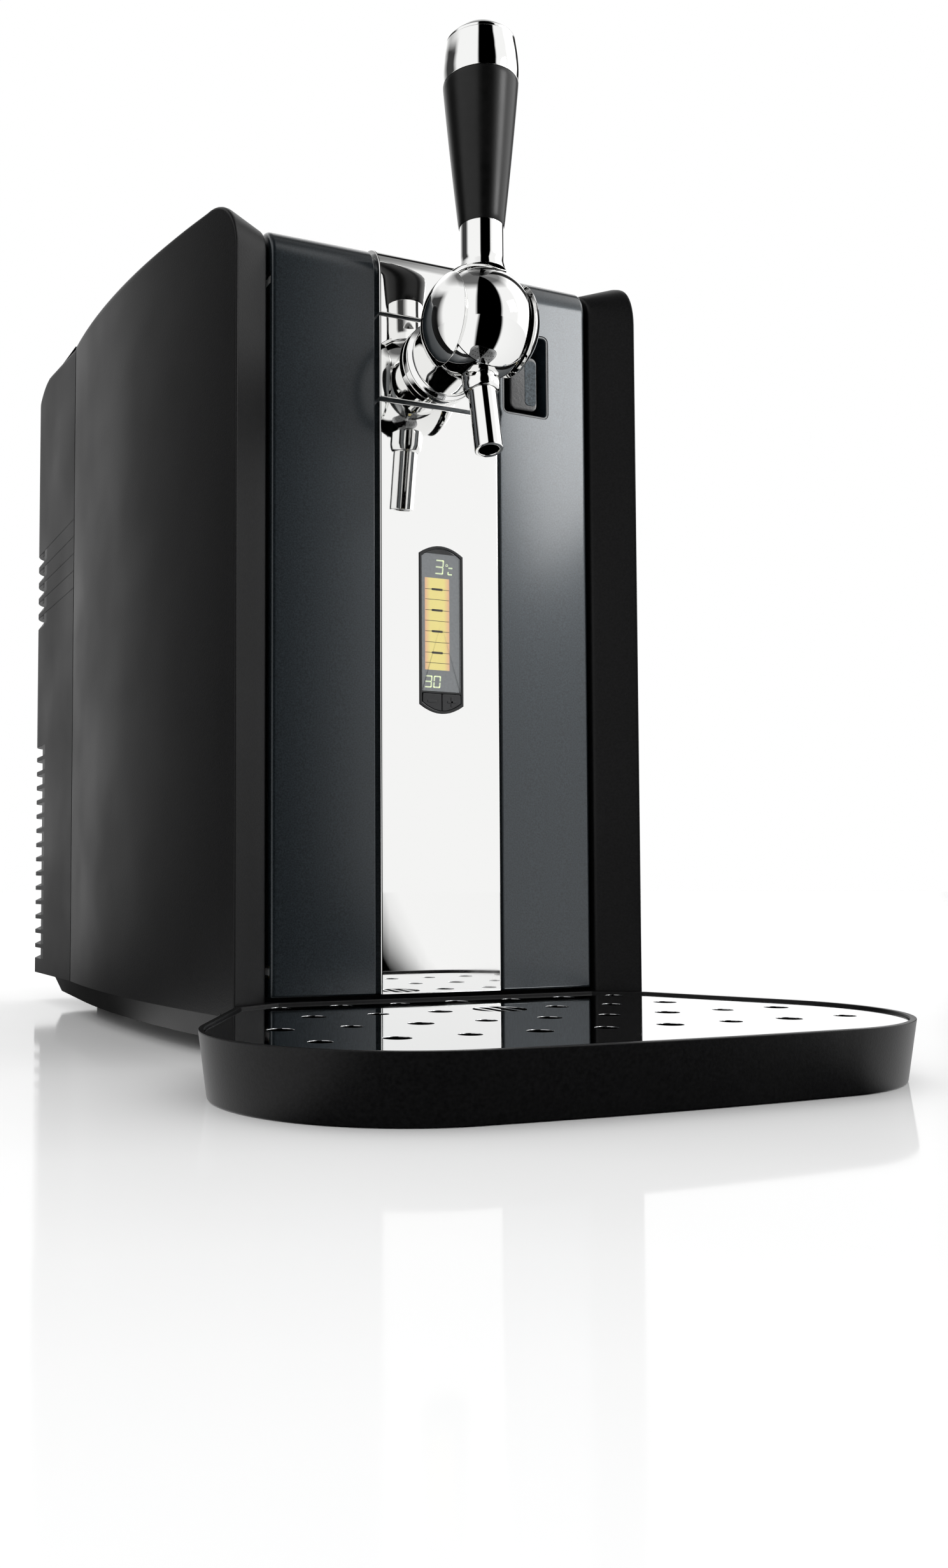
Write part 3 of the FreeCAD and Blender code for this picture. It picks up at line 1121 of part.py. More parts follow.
def mains_inlet():
    """The mains socket in the rear cover, with three contact pins in its hollow."""
    x0 = INLET_X - INLET_W / 2 + FIT
    x1 = INLET_X + INLET_W / 2 - FIT
    z0 = INLET_Z - INLET_H / 2 + FIT
    z1 = INLET_Z + INLET_H / 2 - FIT
    back = BACK_Y - x1 * x1 / (2 * BACK_R) - INLET_SET
    shape = box(x0, x1, back - INLET_D, back, z0, z1)
    shape = shape.cut(box(x0 + WALL, x1 - WALL, back - INLET_D + WALL, back + WALL, z0 + WALL, z1 - WALL))
    for dx, dz in ((-1, -1), (1, -1), (0, 0)):
        x = INLET_X + dx * INLET_W / 5
        z = INLET_Z + dz * INLET_H / 6
        shape = shape.fuse(box(x - PELT_T / 4, x + PELT_T / 4, back - INLET_D + WALL / 2, back - WALL,
                               z - WALL / 2, z + WALL / 2))
    return one(shape)


def rear_screw(sx, z):
    """A cover screw."""
    y = BACK_Y - SCREW_X * SCREW_X / (2 * BACK_R) + GAP
    head = rod(SCREW_HEAD, (sx * SCREW_X, y, z), (sx * SCREW_X, y + WALL, z))
    return one(rod(SCREW_R, (sx * SCREW_X, y - SCREW_L, z), (sx * SCREW_X, y + FIT, z)).fuse(head))


def temperature_probe():
    """The probe on the chamber's ceiling."""
    return rod(PROBE_R, (OPEN_X / 2, CHAMBER_Y, OPEN_Z1 - PROBE_L), (OPEN_X / 2, CHAMBER_Y, OPEN_Z1))


left = side_panel()
save("left_side_panel", left)
save("right_side_panel", mirror(left))
save("rear_cover", rear_cover())
save("lid", lid())
save("lid_strip", lid_strip())
save("base", base())
for name, p in zip(("foot_front_left", "foot_front_right", "foot_rear_left", "foot_rear_right"), FEET):
    save(name, foot(p))
save("chamber_frame", frame())
save("chamber_liner", chamber_liner())
save("chamber_foam", chamber_foam())
save("keg_seat", keg_seat())
save("keg_coupler", coupler())
save("temperature_probe", temperature_probe())
for name, z in (("hinge_pin_lower", ARM_LOW_Z), ("hinge_pin_upper", ARM_HIGH_Z)):
    save(name, rod(PIN_R, (PIN_X, PIN_Y, z - POST_H + WALL), (PIN_X, PIN_Y, z + POST_H - WALL)))
save("door_panel", door_panel())
save("door_foam", door_foam())
save("door_liner", door_liner())
save("door_seal", ring(SEAL_X, DOOR_BACK + LINER_T, DOOR_BACK + LINER_T + SEAL_T, OPEN_Z0 - SEAL_W,
                       OPEN_Z1 + SEAL_W, SEAL_W))
save("latch_hook", latch_hook())
lower = strip(DOOR_Z0 + GAP, GAP2_Z - GAP2 / 2).cut(pill(FIT * 2, -SIDE_X, SIDE_X))
save("strip_lower", one(lower))
plate = strip(GAP2_Z + GAP2 / 2, GAP1_Z - GAP1 / 2)
save("tap_plate", one(plate.cut(rod(HOSE_R + WALL, (0, -SIDE_X, ARM_Z), (0, SIDE_X, ARM_Z)))))
save("strip_upper", one(strip(GAP1_Z + GAP1 / 2, TOP_REAR_Z)))
save("display_case", display_case())
save("display_glass", display_glass())
save("display_screen", display_screen())
save("minus_button", button(-1))
save("plus_button", button(1))
save("release_cup", release_cup())
save("release_lever", release_lever())
save("tap_body", tap_body())
save("tap_dome", dome())
save("dome_pin", rod(DOME_PIN_R, (-DOME_LUG, TAP_Y + DOME_Y, TAP_Z + DOME_PIN_Z),
                     (DOME_LUG, TAP_Y + DOME_Y, TAP_Z + DOME_PIN_Z)))
save("tap_pin_left", rod(TAP_PIN_R, (-HUB_X - TAP_PIN_IN + GAP, TAP_Y, TAP_Z), (-BALL_X + TAP_PIN_IN, TAP_Y, TAP_Z)))
save("tap_pin_right", rod(TAP_PIN_R, (BALL_X - TAP_PIN_IN, TAP_Y, TAP_Z), (HUB_X + TAP_PIN_IN - GAP, TAP_Y, TAP_Z)))
save("handle_yoke", yoke())
save("handle_neck", turned([(0, TAP_Z + YOKE_R1 + WALL), (NECK_R, TAP_Z + YOKE_R1 + WALL), (NECK_R, NECK_Z1),
                            (0, NECK_Z1)], HANDLE_Y))
save("handle_grip", grip())
save("handle_band", turned([(0, GRIP_Z1), (GRIP_R1, GRIP_Z1), (BAND_R, BAND_Z1), (0, BAND_Z1)], HANDLE_Y))
save("handle_cap", handle_cap())
save("spout_collar", collar())
nozzle = spout(SPOUT_R, SPOUT_Z0, COLLAR_Z1).cut(spout(SPOUT_BORE, 0, TOP_REAR_Z))
save("spout_tube", one(nozzle))
save("drip_tray", tray())
save("drip_plate", tray_plate())
save("cold_plate", cold_plate())
save("cooling_module", peltier())
save("heat_sink", heat_sink())
save("fan_frame", fan_frame())
save("fan_rotor", fan_rotor())
save("power_supply", power_supply())
save("air_pump", air_pump())
save("air_hose", air_hose())
save("board_carrier", board_carrier())
save("control_board", control_board())
save("mains_inlet", mains_inlet())
for name, sx in (("screw_low_left", -1), ("screw_low_right", 1)):
    save(name, rear_screw(sx, SCREW_Z))
print(len(MADE), "sub-parts")
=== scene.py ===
# %% [markdown]
# # A mini keg beer dispenser in Blender
#
# The machine is a black cabinet for one small keg. A dark door closes its front, a bright metal strip
# runs up the middle of that door, and a chromed tap stands on the strip. A drip tray lies in front.
#
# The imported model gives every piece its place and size. This lesson rebuilds what shows as smooth
# surfaces with eased edges, and gives every piece a finish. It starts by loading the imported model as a
# fixed frame.

# %% Load the frame
import math

import bmesh
import bpy
import numpy as np
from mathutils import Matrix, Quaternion, Vector
from mathutils.geometry import delaunay_2d_cdt


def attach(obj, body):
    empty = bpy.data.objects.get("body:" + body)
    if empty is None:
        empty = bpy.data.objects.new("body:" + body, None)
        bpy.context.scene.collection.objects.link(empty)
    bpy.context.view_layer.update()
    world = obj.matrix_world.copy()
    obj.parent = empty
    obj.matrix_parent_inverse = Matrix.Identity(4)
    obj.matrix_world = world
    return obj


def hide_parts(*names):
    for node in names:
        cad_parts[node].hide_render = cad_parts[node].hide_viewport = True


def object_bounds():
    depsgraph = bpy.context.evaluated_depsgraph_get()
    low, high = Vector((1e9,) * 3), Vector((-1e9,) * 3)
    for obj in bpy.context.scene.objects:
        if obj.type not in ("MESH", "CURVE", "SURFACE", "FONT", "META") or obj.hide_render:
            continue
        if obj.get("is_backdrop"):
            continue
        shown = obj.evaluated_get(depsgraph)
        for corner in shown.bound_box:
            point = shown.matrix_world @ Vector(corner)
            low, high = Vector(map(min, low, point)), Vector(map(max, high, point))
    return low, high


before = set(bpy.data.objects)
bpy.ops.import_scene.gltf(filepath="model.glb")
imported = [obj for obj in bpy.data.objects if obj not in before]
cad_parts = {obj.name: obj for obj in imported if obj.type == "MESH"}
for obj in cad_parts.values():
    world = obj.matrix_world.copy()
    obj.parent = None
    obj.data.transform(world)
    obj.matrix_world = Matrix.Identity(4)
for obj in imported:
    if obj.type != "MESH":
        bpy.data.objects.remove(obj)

CAD_BOX = [list(corner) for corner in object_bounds()]
print("nodes", len(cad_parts), "box", CAD_BOX)

# %% [markdown]
# ## Points, skins and pieces
#
# Sizes are easier to read in millimetres, with y = 0 at the side edges of the door. One function turns
# such points into metres in the shared frame. A surface is a grid of points: rows one way, columns the
# other. Its normals come from the two directions of the grid, so a curved wall shades smoothly without
# many faces. That matters most on mirror finishes, where any wobble of a normal bends the reflection.

# %% From millimetres to the shared frame
FRAME_Y = -85.5


def place(x, y, z):
    """Points in metres: (x, y - 85.5, z) / 1000. Numbers and arrays may be mixed."""
    x, y, z = np.broadcast_arrays(x, y, z)
    return np.stack([x, y + FRAME_Y, z], -1) * 0.001


def unit(v):
    """Vectors divided by their length; a zero vector stays zero."""
    size = np.linalg.norm(v, axis=-1, keepdims=True)
    return np.divide(v, size, out=np.zeros_like(v), where=size > 1e-12)


# %% A grid of points becomes a skin
def slope(points, axis, wrap):
    """Difference between the next and the last point along one direction, one-sided at an open edge."""
    if wrap:
        return np.roll(points, -1, axis) - np.roll(points, 1, axis)
    return np.gradient(points, axis=axis)


def normals_of(points, wrap_rows, wrap_cols):
    """Cross product of the two slopes. Where a row or column shrinks to a pole, its neighbour's mean
    is used."""
    normal = unit(np.cross(slope(points, 0, wrap_rows), slope(points, 1, wrap_cols)))
    weak = np.linalg.norm(normal, axis=-1) < 0.5
    for row, near in ((0, 1), (-1, -2)):
        if weak[row].mean() > 0.5:
            normal[row] = unit(normal[near].mean(axis=0))
    for col, near in ((0, 1), (-1, -2)):
        if weak[:, col].mean() > 0.5:
            normal[:, col] = unit(normal[:, near].mean(axis=0))
    return normal


def grid(points, wrap_rows=False, wrap_cols=False, keep=None):
    """A skin from points of shape (rows, columns, 3): the points, the corner numbers of each cell, and
    a normal for each corner. keep says which cells exist."""
    rows, cols = points.shape[:2]
    i = np.arange(rows if wrap_rows else rows - 1)
    j = np.arange(cols if wrap_cols else cols - 1)
    i, j = np.meshgrid(i, j, indexing="ij")
    up, right = (i + 1) % rows, (j + 1) % cols
    cells = np.stack([i * cols + j, up * cols + j, up * cols + right, i * cols + right], -1)
    cells = cells.reshape(-1, 4) if keep is None else cells[keep]
    normal = normals_of(points, wrap_rows, wrap_cols)
    return points.reshape(-1, 3), cells, normal.reshape(-1, 3)[cells]


def mirrored(skin):
    """The same skin on the other side of the middle plane."""
    points, cells, normals = skin
    return points * [-1, 1, 1], cells, normals * [-1, 1, 1]


# %% Walls with thickness
def rims(outer, inner, keep):
    """Flat strips between two grids of one shape, along each edge where a kept cell meets none."""
    k = np.pad(keep, 1).astype(int)
    out = []
    for axis in (0, 1):
        edge = np.diff(k, axis=axis) != 0
        edge = edge[:, 1:-1] if axis == 0 else edge[1:-1, :]
        i, j = np.nonzero(edge)
        i2, j2 = (i, j + 1) if axis == 0 else (i + 1, j)
        quad = np.stack([outer[i, j], outer[i2, j2], inner[i2, j2], inner[i, j]], 1)
        face = unit(np.cross(quad[:, 1] - quad[:, 0], quad[:, 3] - quad[:, 0]))
        cells = np.arange(len(quad) * 4).reshape(-1, 4)
        out.append((quad.reshape(-1, 3), cells, np.repeat(face[:, None], 4, 1)))
    return out


def shell(outer, inner, keep=None):
    """A closed wall: outer grid, inner grid of the same shape, and the rims between them."""
    if keep is None:
        keep = np.ones((outer.shape[0] - 1, outer.shape[1] - 1), bool)
    return [grid(outer, keep=keep), grid(inner, keep=keep)] + rims(outer, inner, keep)


# %% [markdown]
# ## Soft corners
#
# A moulded or polished edge is never sharp. A corner of a section is eased with a soft ramp: it is 0
# before the corner and rises in a straight line after it, with a parabola between. A path that starts
# straight and adds one such ramp per corner turns smoothly. The same idea rounds the upright corners of a
# window in a grid.

# %% The soft ramp and the eased path
def ramp(v, w):
    """0 before -w/2, v after w/2, and (v + w/2)^2 / 2w between."""
    s = np.clip(v / w + 0.5, 0, 1)
    return np.where(v > w / 2, v, w * s * s / 2)


def eased(points, width, per_corner=5, extra=(), closed=False):
    """Points along a polyline whose corners are eased: start + first direction * u + sum of changes of
    direction * ramp(u - corner, width). u is dense in the corners, and extra gives more values of u to
    include."""
    p = np.asarray(points, float)
    if closed:
        mid = (p[0] + p[-1]) / 2
        p = np.vstack([mid, p, mid])
    step = np.diff(p, axis=0)
    long = np.linalg.norm(step, axis=1)
    way = step / long[:, None]
    at = np.concatenate([[0], np.cumsum(long)])
    w = np.broadcast_to(np.asarray(width, float), len(p) - 2)
    w = np.minimum(w, 1.9 * np.minimum(long[:-1], long[1:]) * np.where(len(p) > 3, 0.5, 1))
    corner = [np.linspace(a - b / 2, a + b / 2, per_corner) for a, b in zip(at[1:-1], w)]
    u = np.unique(np.round(np.concatenate([[0, at[-1]], np.asarray(extra, float)] + corner), 5))
    out = p[0] + way[0] * u[:, None]
    for k in range(len(w)):
        out = out + (way[k + 1] - way[k]) * ramp(u - at[k + 1], max(w[k], 1e-6))[:, None]
    return out[:-1] if closed else out


def bend_window(x, z, box, radius):
    """Moves grid points so that lines round a rectangular window follow round corners: in a corner's
    quarter the square rings, of size max(qx, qz), become circles of that radius, and the change fades
    out further away."""
    x0, x1, z0, z1 = box
    mx, mz = (x0 + x1) / 2, (z0 + z1) / 2
    qx = np.abs(x - mx) - ((x1 - x0) / 2 - radius)
    qz = np.abs(z - mz) - ((z1 - z0) / 2 - radius)
    inside = (qx > 0) & (qz > 0)
    size = np.maximum(qx, qz)
    ratio = np.divide(size, np.hypot(qx, qz), out=np.ones_like(size), where=inside)
    fade = np.clip((3 * radius - size) / (2 * radius), 0, 1)
    pull = np.where(inside, (1 - ratio) * fade, 0)
    return x - np.sign(x - mx) * qx * pull, z - np.sign(z - mz) * qz * pull


# %% From skins to a finished piece
def corner_arrays(skins):
    """All skins in one list of points, with the corners of each cell; triangles are cells with a
    repeated corner."""
    start = np.cumsum([0] + [len(s[0]) for s in skins[:-1]])
    points = np.concatenate([s[0] for s in skins])
    cells = np.concatenate([s[1] + a for s, a in zip(skins, start)])
    normals = np.concatenate([s[2] for s in skins])
    microns = np.round(points * 1e6).astype(np.int64)
    _, first, same = np.unique(microns, axis=0, return_index=True, return_inverse=True)
    return points[first], same.reshape(-1)[cells], normals


def split_cells(cells, normals):
    """Cells with four different corners stay, cells with one repeated corner become triangles, the
    rest go."""
    twin = cells == np.roll(cells, -1, 1)
    cross = (cells[:, 0] == cells[:, 2]) | (cells[:, 1] == cells[:, 3])
    count = twin.sum(1)
    quads = (count == 0) & ~cross
    tris, tri_normals = [], []
    for k in range(4):
        pick = (count == 1) & twin[:, k] & ~cross
        order = [c for c in range(4) if c != k]
        tris.append(cells[pick][:, order])
        tri_normals.append(normals[pick][:, order])
    return cells[quads], normals[quads], np.concatenate(tris), np.concatenate(tri_normals)


def mesh_of(name, skins, crease):
    """One mesh from skins. Faces are turned to point outwards, and each corner keeps the normal of its
    own skin, or the face's own where the two differ by more than the crease angle."""
    points, cells, normals = corner_arrays(skins)
    quads, qn, tris, tn = split_cells(cells, normals)
    mesh = bpy.data.meshes.new(name)
    mesh.vertices.add(len(points))
    mesh.vertices.foreach_set("co", points.astype(np.float32).ravel())
    loops = np.concatenate([quads.ravel(), tris.ravel()])
    mesh.loops.add(len(loops))
    mesh.loops.foreach_set("vertex_index", loops.astype(np.int32))
    starts = np.concatenate([np.arange(len(quads)) * 4, len(quads) * 4 + np.arange(len(tris)) * 3])
    mesh.polygons.add(len(starts))
    mesh.polygons.foreach_set("loop_start", starts.astype(np.int32))
    mesh.update(calc_edges=True)
    lay = mesh.attributes.new("lay", "FLOAT_VECTOR", "CORNER")
    corner_normals = np.concatenate([qn.reshape(-1, 3), tn.reshape(-1, 3)]).astype(np.float32)
    lay.data.foreach_set("vector", corner_normals.ravel())
    bm = bmesh.new()
    bm.from_mesh(mesh)
    bmesh.ops.recalc_face_normals(bm, faces=bm.faces)
    bm.to_mesh(mesh)
    open_edges = sum(1 for e in bm.edges if len(e.link_faces) != 2)
    bm.free()
    count = len(mesh.loops)
    want = np.empty(count * 3, np.float32)
    mesh.attributes["lay"].data.foreach_get("vector", want)
    want = want.reshape(-1, 3)
    face = np.empty(len(mesh.polygons) * 3, np.float32)
    mesh.polygons.foreach_get("normal", face)
    total = np.empty(len(mesh.polygons), np.int32)
    mesh.polygons.foreach_get("loop_total", total)
    face = np.repeat(face.reshape(-1, 3), total, axis=0)
    side = (want * face).sum(1)
    want = want * np.where(side < 0, -1, 1)[:, None]
    want = np.where((np.abs(side) < math.cos(math.radians(crease)))[:, None], face, want)
    mesh.attributes.remove(mesh.attributes["lay"])
    mesh.shade_smooth()
    mesh.normals_split_custom_set(want.tolist())
    return mesh, open_edges


def piece(name, skins, finish, body, nodes=(), crease=50):
    """A finished piece: mesh, finish, body to ride on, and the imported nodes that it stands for."""
    mesh, open_edges = mesh_of(name, skins, crease)
    obj = bpy.data.objects.new(name, mesh)
    bpy.context.scene.collection.objects.link(obj)
    mesh.materials.append(finish)
    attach(obj, body)
    if nodes:
        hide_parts(*nodes)
    print(f"{name}: {len(mesh.polygons)} faces, {open_edges} open edges")


# %% [markdown]
# ## Finishes
#
# Each finish starts from the real material. Colours are written as the hex values that a paint chart
# gives, and one function turns them into the linear light that the renderer works with. One more function
# adds a node with its settings and links, so that every finish reads as a short recipe. Patterns use
# Object coordinates, which are metres, so a grain of 1 mm needs a noise scale of about 1000.

# %% Colour and node helpers
def linear(hex_code):
    """sRGB hex to linear light: c / 12.92 below 0.04045, else ((c + 0.055) / 1.055) ^ 2.4."""
    c = np.array([int(hex_code[k:k + 2], 16) / 255 for k in (1, 3, 5)])
    c = np.where(c <= 0.04045, c / 12.92, ((c + 0.055) / 1.055) ** 2.4)
    return (*c.tolist(), 1.0)


def node(tree, kind, links=(), **settings):
    """Adds one node. Settings whose name is an input set that input; the others set the node itself.
    Each link is (socket of this node, output socket of another)."""
    made = tree.nodes.new(kind)
    for key, value in settings.items():
        label = key.replace("_", " ")
        if hasattr(made, key) and not key[0].isupper():
            setattr(made, key, value)
        else:
            made.inputs[label].default_value = value
    for socket, source in links:
        tree.links.new(source, made.inputs[socket])
    return made


def finish(name, **settings):
    """A material with one Principled shader and Object coordinates: returns material, tree, shader,
    coordinates."""
    mat = bpy.data.materials.new(name)
    mat.use_nodes = True
    tree = mat.node_tree
    tree.nodes.clear()
    out = node(tree, "ShaderNodeOutputMaterial")
    shader = node(tree, "ShaderNodeBsdfPrincipled", **settings)
    tree.links.new(shader.outputs[0], out.inputs[0])
    where = node(tree, "ShaderNodeTexCoord").outputs["Object"]
    return mat, tree, shader, where


def mottled(tree, where, scale, dark, light, low=0.3, high=0.7, detail=3.0):
    """Two close colours mixed by noise: no moulded or painted surface is one flat value."""
    noise = node(tree, "ShaderNodeTexNoise", [("Vector", where)], Scale=scale, Detail=detail)
    band = node(tree, "ShaderNodeMapRange", [("Value", noise.outputs[0])], From_Min=low, From_Max=high)
    mix = node(tree, "ShaderNodeMix", [("Factor", band.outputs[0])], data_type="RGBA")
    mix.inputs[6].default_value = linear(dark)
    mix.inputs[7].default_value = linear(light)
    return mix.outputs[2]


def uneven(tree, where, scale, low, high, detail=2.0):
    """A value between low and high that changes with noise, for roughness."""
    noise = node(tree, "ShaderNodeTexNoise", [("Vector", where)], Scale=scale, Detail=detail)
    return node(tree, "ShaderNodeMapRange", [("Value", noise.outputs[0])], From_Min=0.3, From_Max=0.7,
                To_Min=low, To_Max=high).outputs[0]


def bumped(tree, height, depth, strength=1.0):
    """Turns a height between 0 and 1 into a bump, depth in metres."""
    return node(tree, "ShaderNodeBump", [("Height", height)], Distance=depth, Strength=strength).outputs[0]


# %% Black ABS with a spark-eroded grain
def eroded_black(name, dark, light, grain_mm, depth_mm, rough, gloss=0.3):
    """Moulded ABS from a spark-eroded mould: matt, with grains of about a millimetre that each catch
    the light. The grain shades itself, so the specular level is lower than a smooth ABS face has."""
    mat, tree, shader, where = finish(name, IOR=1.54, Specular_IOR_Level=gloss)
    grains = node(tree, "ShaderNodeTexNoise", [("Vector", where)], Scale=1000 / grain_mm, Detail=2.5,
                  Roughness=0.6)
    tree.links.new(mottled(tree, where, 1000 / (grain_mm * 1.3), dark, light), shader.inputs["Base Color"])
    tree.links.new(uneven(tree, where, 14.0, rough - 0.04, rough + 0.05), shader.inputs["Roughness"])
    tree.links.new(bumped(tree, grains.outputs[0], depth_mm / 1000), shader.inputs["Normal"])
    return mat


SIDE_BLACK = eroded_black("spark_eroded_black_abs", "#060607", "#101011", 0.75, 0.05, 0.38, 0.16)
TRAY_BLACK = eroded_black("tray_black_abs", "#080809", "#121213", 0.9, 0.035, 0.40, 0.17)
BASE_BLACK = eroded_black("plinth_black_abs", "#09090a", "#121212", 0.9, 0.03, 0.5, 0.2)
LEVER_GREY = eroded_black("lever_pad_grain", "#30383c", "#56626a", 0.7, 0.06, 0.45)


# %% Metallic lacquer of the door
def door_lacquer():
    """Blue-black metallic lacquer on a moulded panel: fine flakes under a satin clear coat."""
    mat, tree, shader, where = finish("blue_black_metallic_lacquer", Metallic=0.7, Coat_Weight=1.0,
                                      Coat_Roughness=0.17)
    flakes = node(tree, "ShaderNodeTexVoronoi", [("Vector", where)], Scale=2600.0)
    tree.links.new(mottled(tree, where, 1500.0, "#181f24", "#2b343a"), shader.inputs["Base Color"])
    spark = node(tree, "ShaderNodeMapRange", [("Value", flakes.outputs["Color"])], To_Min=0.30, To_Max=0.40)
    tree.links.new(spark.outputs[0], shader.inputs["Roughness"])
    return mat


DOOR_BLUE = door_lacquer()


# %% Mirror chrome, satin black, gloss black
def chrome(name, tint, rough):
    """Chrome plating on polished metal: a mirror, only broken by faint polishing haze."""
    mat, tree, shader, where = finish(name, Metallic=1.0)
    shader.inputs["Base Color"].default_value = linear(tint)
    tree.links.new(uneven(tree, where, 60.0, rough, rough + 0.03), shader.inputs["Roughness"])
    return mat


MIRROR = chrome("mirror_chrome", "#f4f4f3", 0.012)
PLATE_MIRROR = chrome("polished_tray_steel", "#e4e5e6", 0.03)


def satin_black(name, dark, light, rough, gloss=0.5):
    """Painted or moulded black with a soft sheen and a very fine orange peel."""
    mat, tree, shader, where = finish(name, IOR=1.5, Specular_IOR_Level=gloss)
    tree.links.new(mottled(tree, where, 320.0, dark, light), shader.inputs["Base Color"])
    tree.links.new(uneven(tree, where, 40.0, rough - 0.03, rough + 0.04), shader.inputs["Roughness"])
    peel = node(tree, "ShaderNodeTexNoise", [("Vector", where)], Scale=900.0, Detail=2.0)
    tree.links.new(bumped(tree, peel.outputs[0], 0.00001), shader.inputs["Normal"])
    return mat


GRIP_BLACK = satin_black("satin_black_lacquer", "#040404", "#0a0a0a", 0.30, gloss=0.32)
GLOSS_BLACK = satin_black("gloss_black_abs", "#07090b", "#0e1113", 0.14)
CUP_BLACK = satin_black("recess_blue_black", "#0f1519", "#182026", 0.22)


# %% Plain inner materials
def plain(name, dark, light, rough, metal=0.0, grain=400.0, bump=0.0):
    """A material for inner pieces: two close colours, uneven roughness, and a bump if it has a grain."""
    mat, tree, shader, where = finish(name, Metallic=metal)
    tree.links.new(mottled(tree, where, grain, dark, light), shader.inputs["Base Color"])
    tree.links.new(uneven(tree, where, grain / 8, rough - 0.04, rough + 0.06), shader.inputs["Roughness"])
    if bump:
        height = node(tree, "ShaderNodeTexNoise", [("Vector", where)], Scale=grain, Detail=3.0)
        tree.links.new(bumped(tree, height.outputs[0], bump), shader.inputs["Normal"])
    return mat


INNER_WHITE = plain("white_abs_liner", "#dfe1e0", "#e9ebea", 0.35, grain=500.0, bump=0.00001)
FOAM = plain("polyurethane_foam", "#c9b98a", "#e0d3a8", 0.85, grain=700.0, bump=0.0003)
RUBBER = plain("black_rubber", "#111111", "#1b1b1b", 0.7, grain=900.0, bump=0.00004)
ALUMINIUM = plain("bare_aluminium", "#b4b7b9", "#c6c9cb", 0.32, 1.0, grain=260.0)
STEEL = plain("bright_steel", "#9fa3a6", "#b6babd", 0.25, 1.0, grain=300.0)
CERAMIC = plain("white_ceramic", "#e6e4de", "#f1efe9", 0.4, grain=350.0)
BOARD = plain("green_circuit_board", "#0f4a2a", "#1a6a3c", 0.38, grain=350.0, bump=0.00005)
HOSE = plain("milky_hose", "#c9ced0", "#dde2e3", 0.3, grain=200.0)
DARK_PLASTIC = plain("black_polyamide", "#141414", "#202020", 0.48, grain=800.0, bump=0.00003)
print("finishes", len(bpy.data.materials))

# %% [markdown]
# ## The cabinet
#
# Seen from above, each side is one long arc. Seen from the side, the front is upright, curves back over
# the top and rises to the rear. A side panel has three parts that melt into each other: a slanted reveal
# beside the door, a soft edge, and the long side. They are made as one grid, so no seam shows. One
# direction follows the outline up the front and over the top, the other runs across the reveal, round the
# edge and down the side, like a fan.

# %% Cabinet outlines
SIDE_X, SIDE_Y, SIDE_R = 123.5, 205.0, 1040.0
WING_X, WING_Y, REVEAL_X = 100.4, -13.0, 82.5
SEAM_Z, CURVE_R, WING_R, WALL = 18.5, 16.0, 27.0, 2.5
SPLIT_FRONT, SPLIT_REAR = 237.2, 238.8
WING_TOP, REVEAL_TOP = 370.0, 366.0
TOP_REAR_Y, TOP_REAR_Z, TOP_REAR_R = 310.0, 405.7, 44.0
RISE = (TOP_REAR_Z - WING_TOP) / (TOP_REAR_Y - WING_Y - CURVE_R)
REVEAL_RISE = (TOP_REAR_Z - WING_TOP) / (TOP_REAR_Y - CURVE_R)
UP_ROWS, CURVE_ROWS, TOP_ROWS = 46, 13, 29


def side_x(y):
    """Half width of the cabinet: centre of the side's arc + square root of (radius^2 - distance^2)."""
    return SIDE_X - SIDE_R + np.sqrt(SIDE_R ** 2 - (y - SIDE_Y) ** 2)


def side_line(y_front, z_top, rise, r, y_end):
    """Depth and height along the front, the curve of radius r and the top of the side view, with
    inward normals. The top rises in a straight line that a curve of radius 16 would meet at z_top."""
    up = np.linspace(0, 1, UP_ROWS)
    a = np.linspace(0, math.pi / 2, CURVE_ROWS + 1)[1:]
    y_top = y_front + r + (y_end - y_front - r) * np.linspace(0, 1, TOP_ROWS + 1)[1:] ** 1.3
    z_arc = z_top + (r - CURVE_R) * rise
    y = np.concatenate([np.full(UP_ROWS, y_front), y_front + r - r * np.cos(a), y_top])
    z = np.concatenate([SEAM_Z + up * (z_arc - r - SEAM_Z), z_arc - r + r * np.sin(a),
                        z_top + (y_top - y_front - CURVE_R) * rise])
    lean = math.atan(rise)
    ny = np.concatenate([np.ones(UP_ROWS), np.cos(a), np.full(TOP_ROWS, math.sin(lean))])
    nz = np.concatenate([np.zeros(UP_ROWS), -np.sin(a), np.full(TOP_ROWS, -math.cos(lean))])
    return y, z, ny, nz


def outward(points, toward):
    """Grid normals, turned so that the middle one points the given way."""
    normal = normals_of(points, False, False)
    mid = normal[points.shape[0] // 2, points.shape[1] // 2]
    return normal if mid @ np.asarray(toward, float) > 0 else -normal


# %% Side panels
SKIRT = 14.0


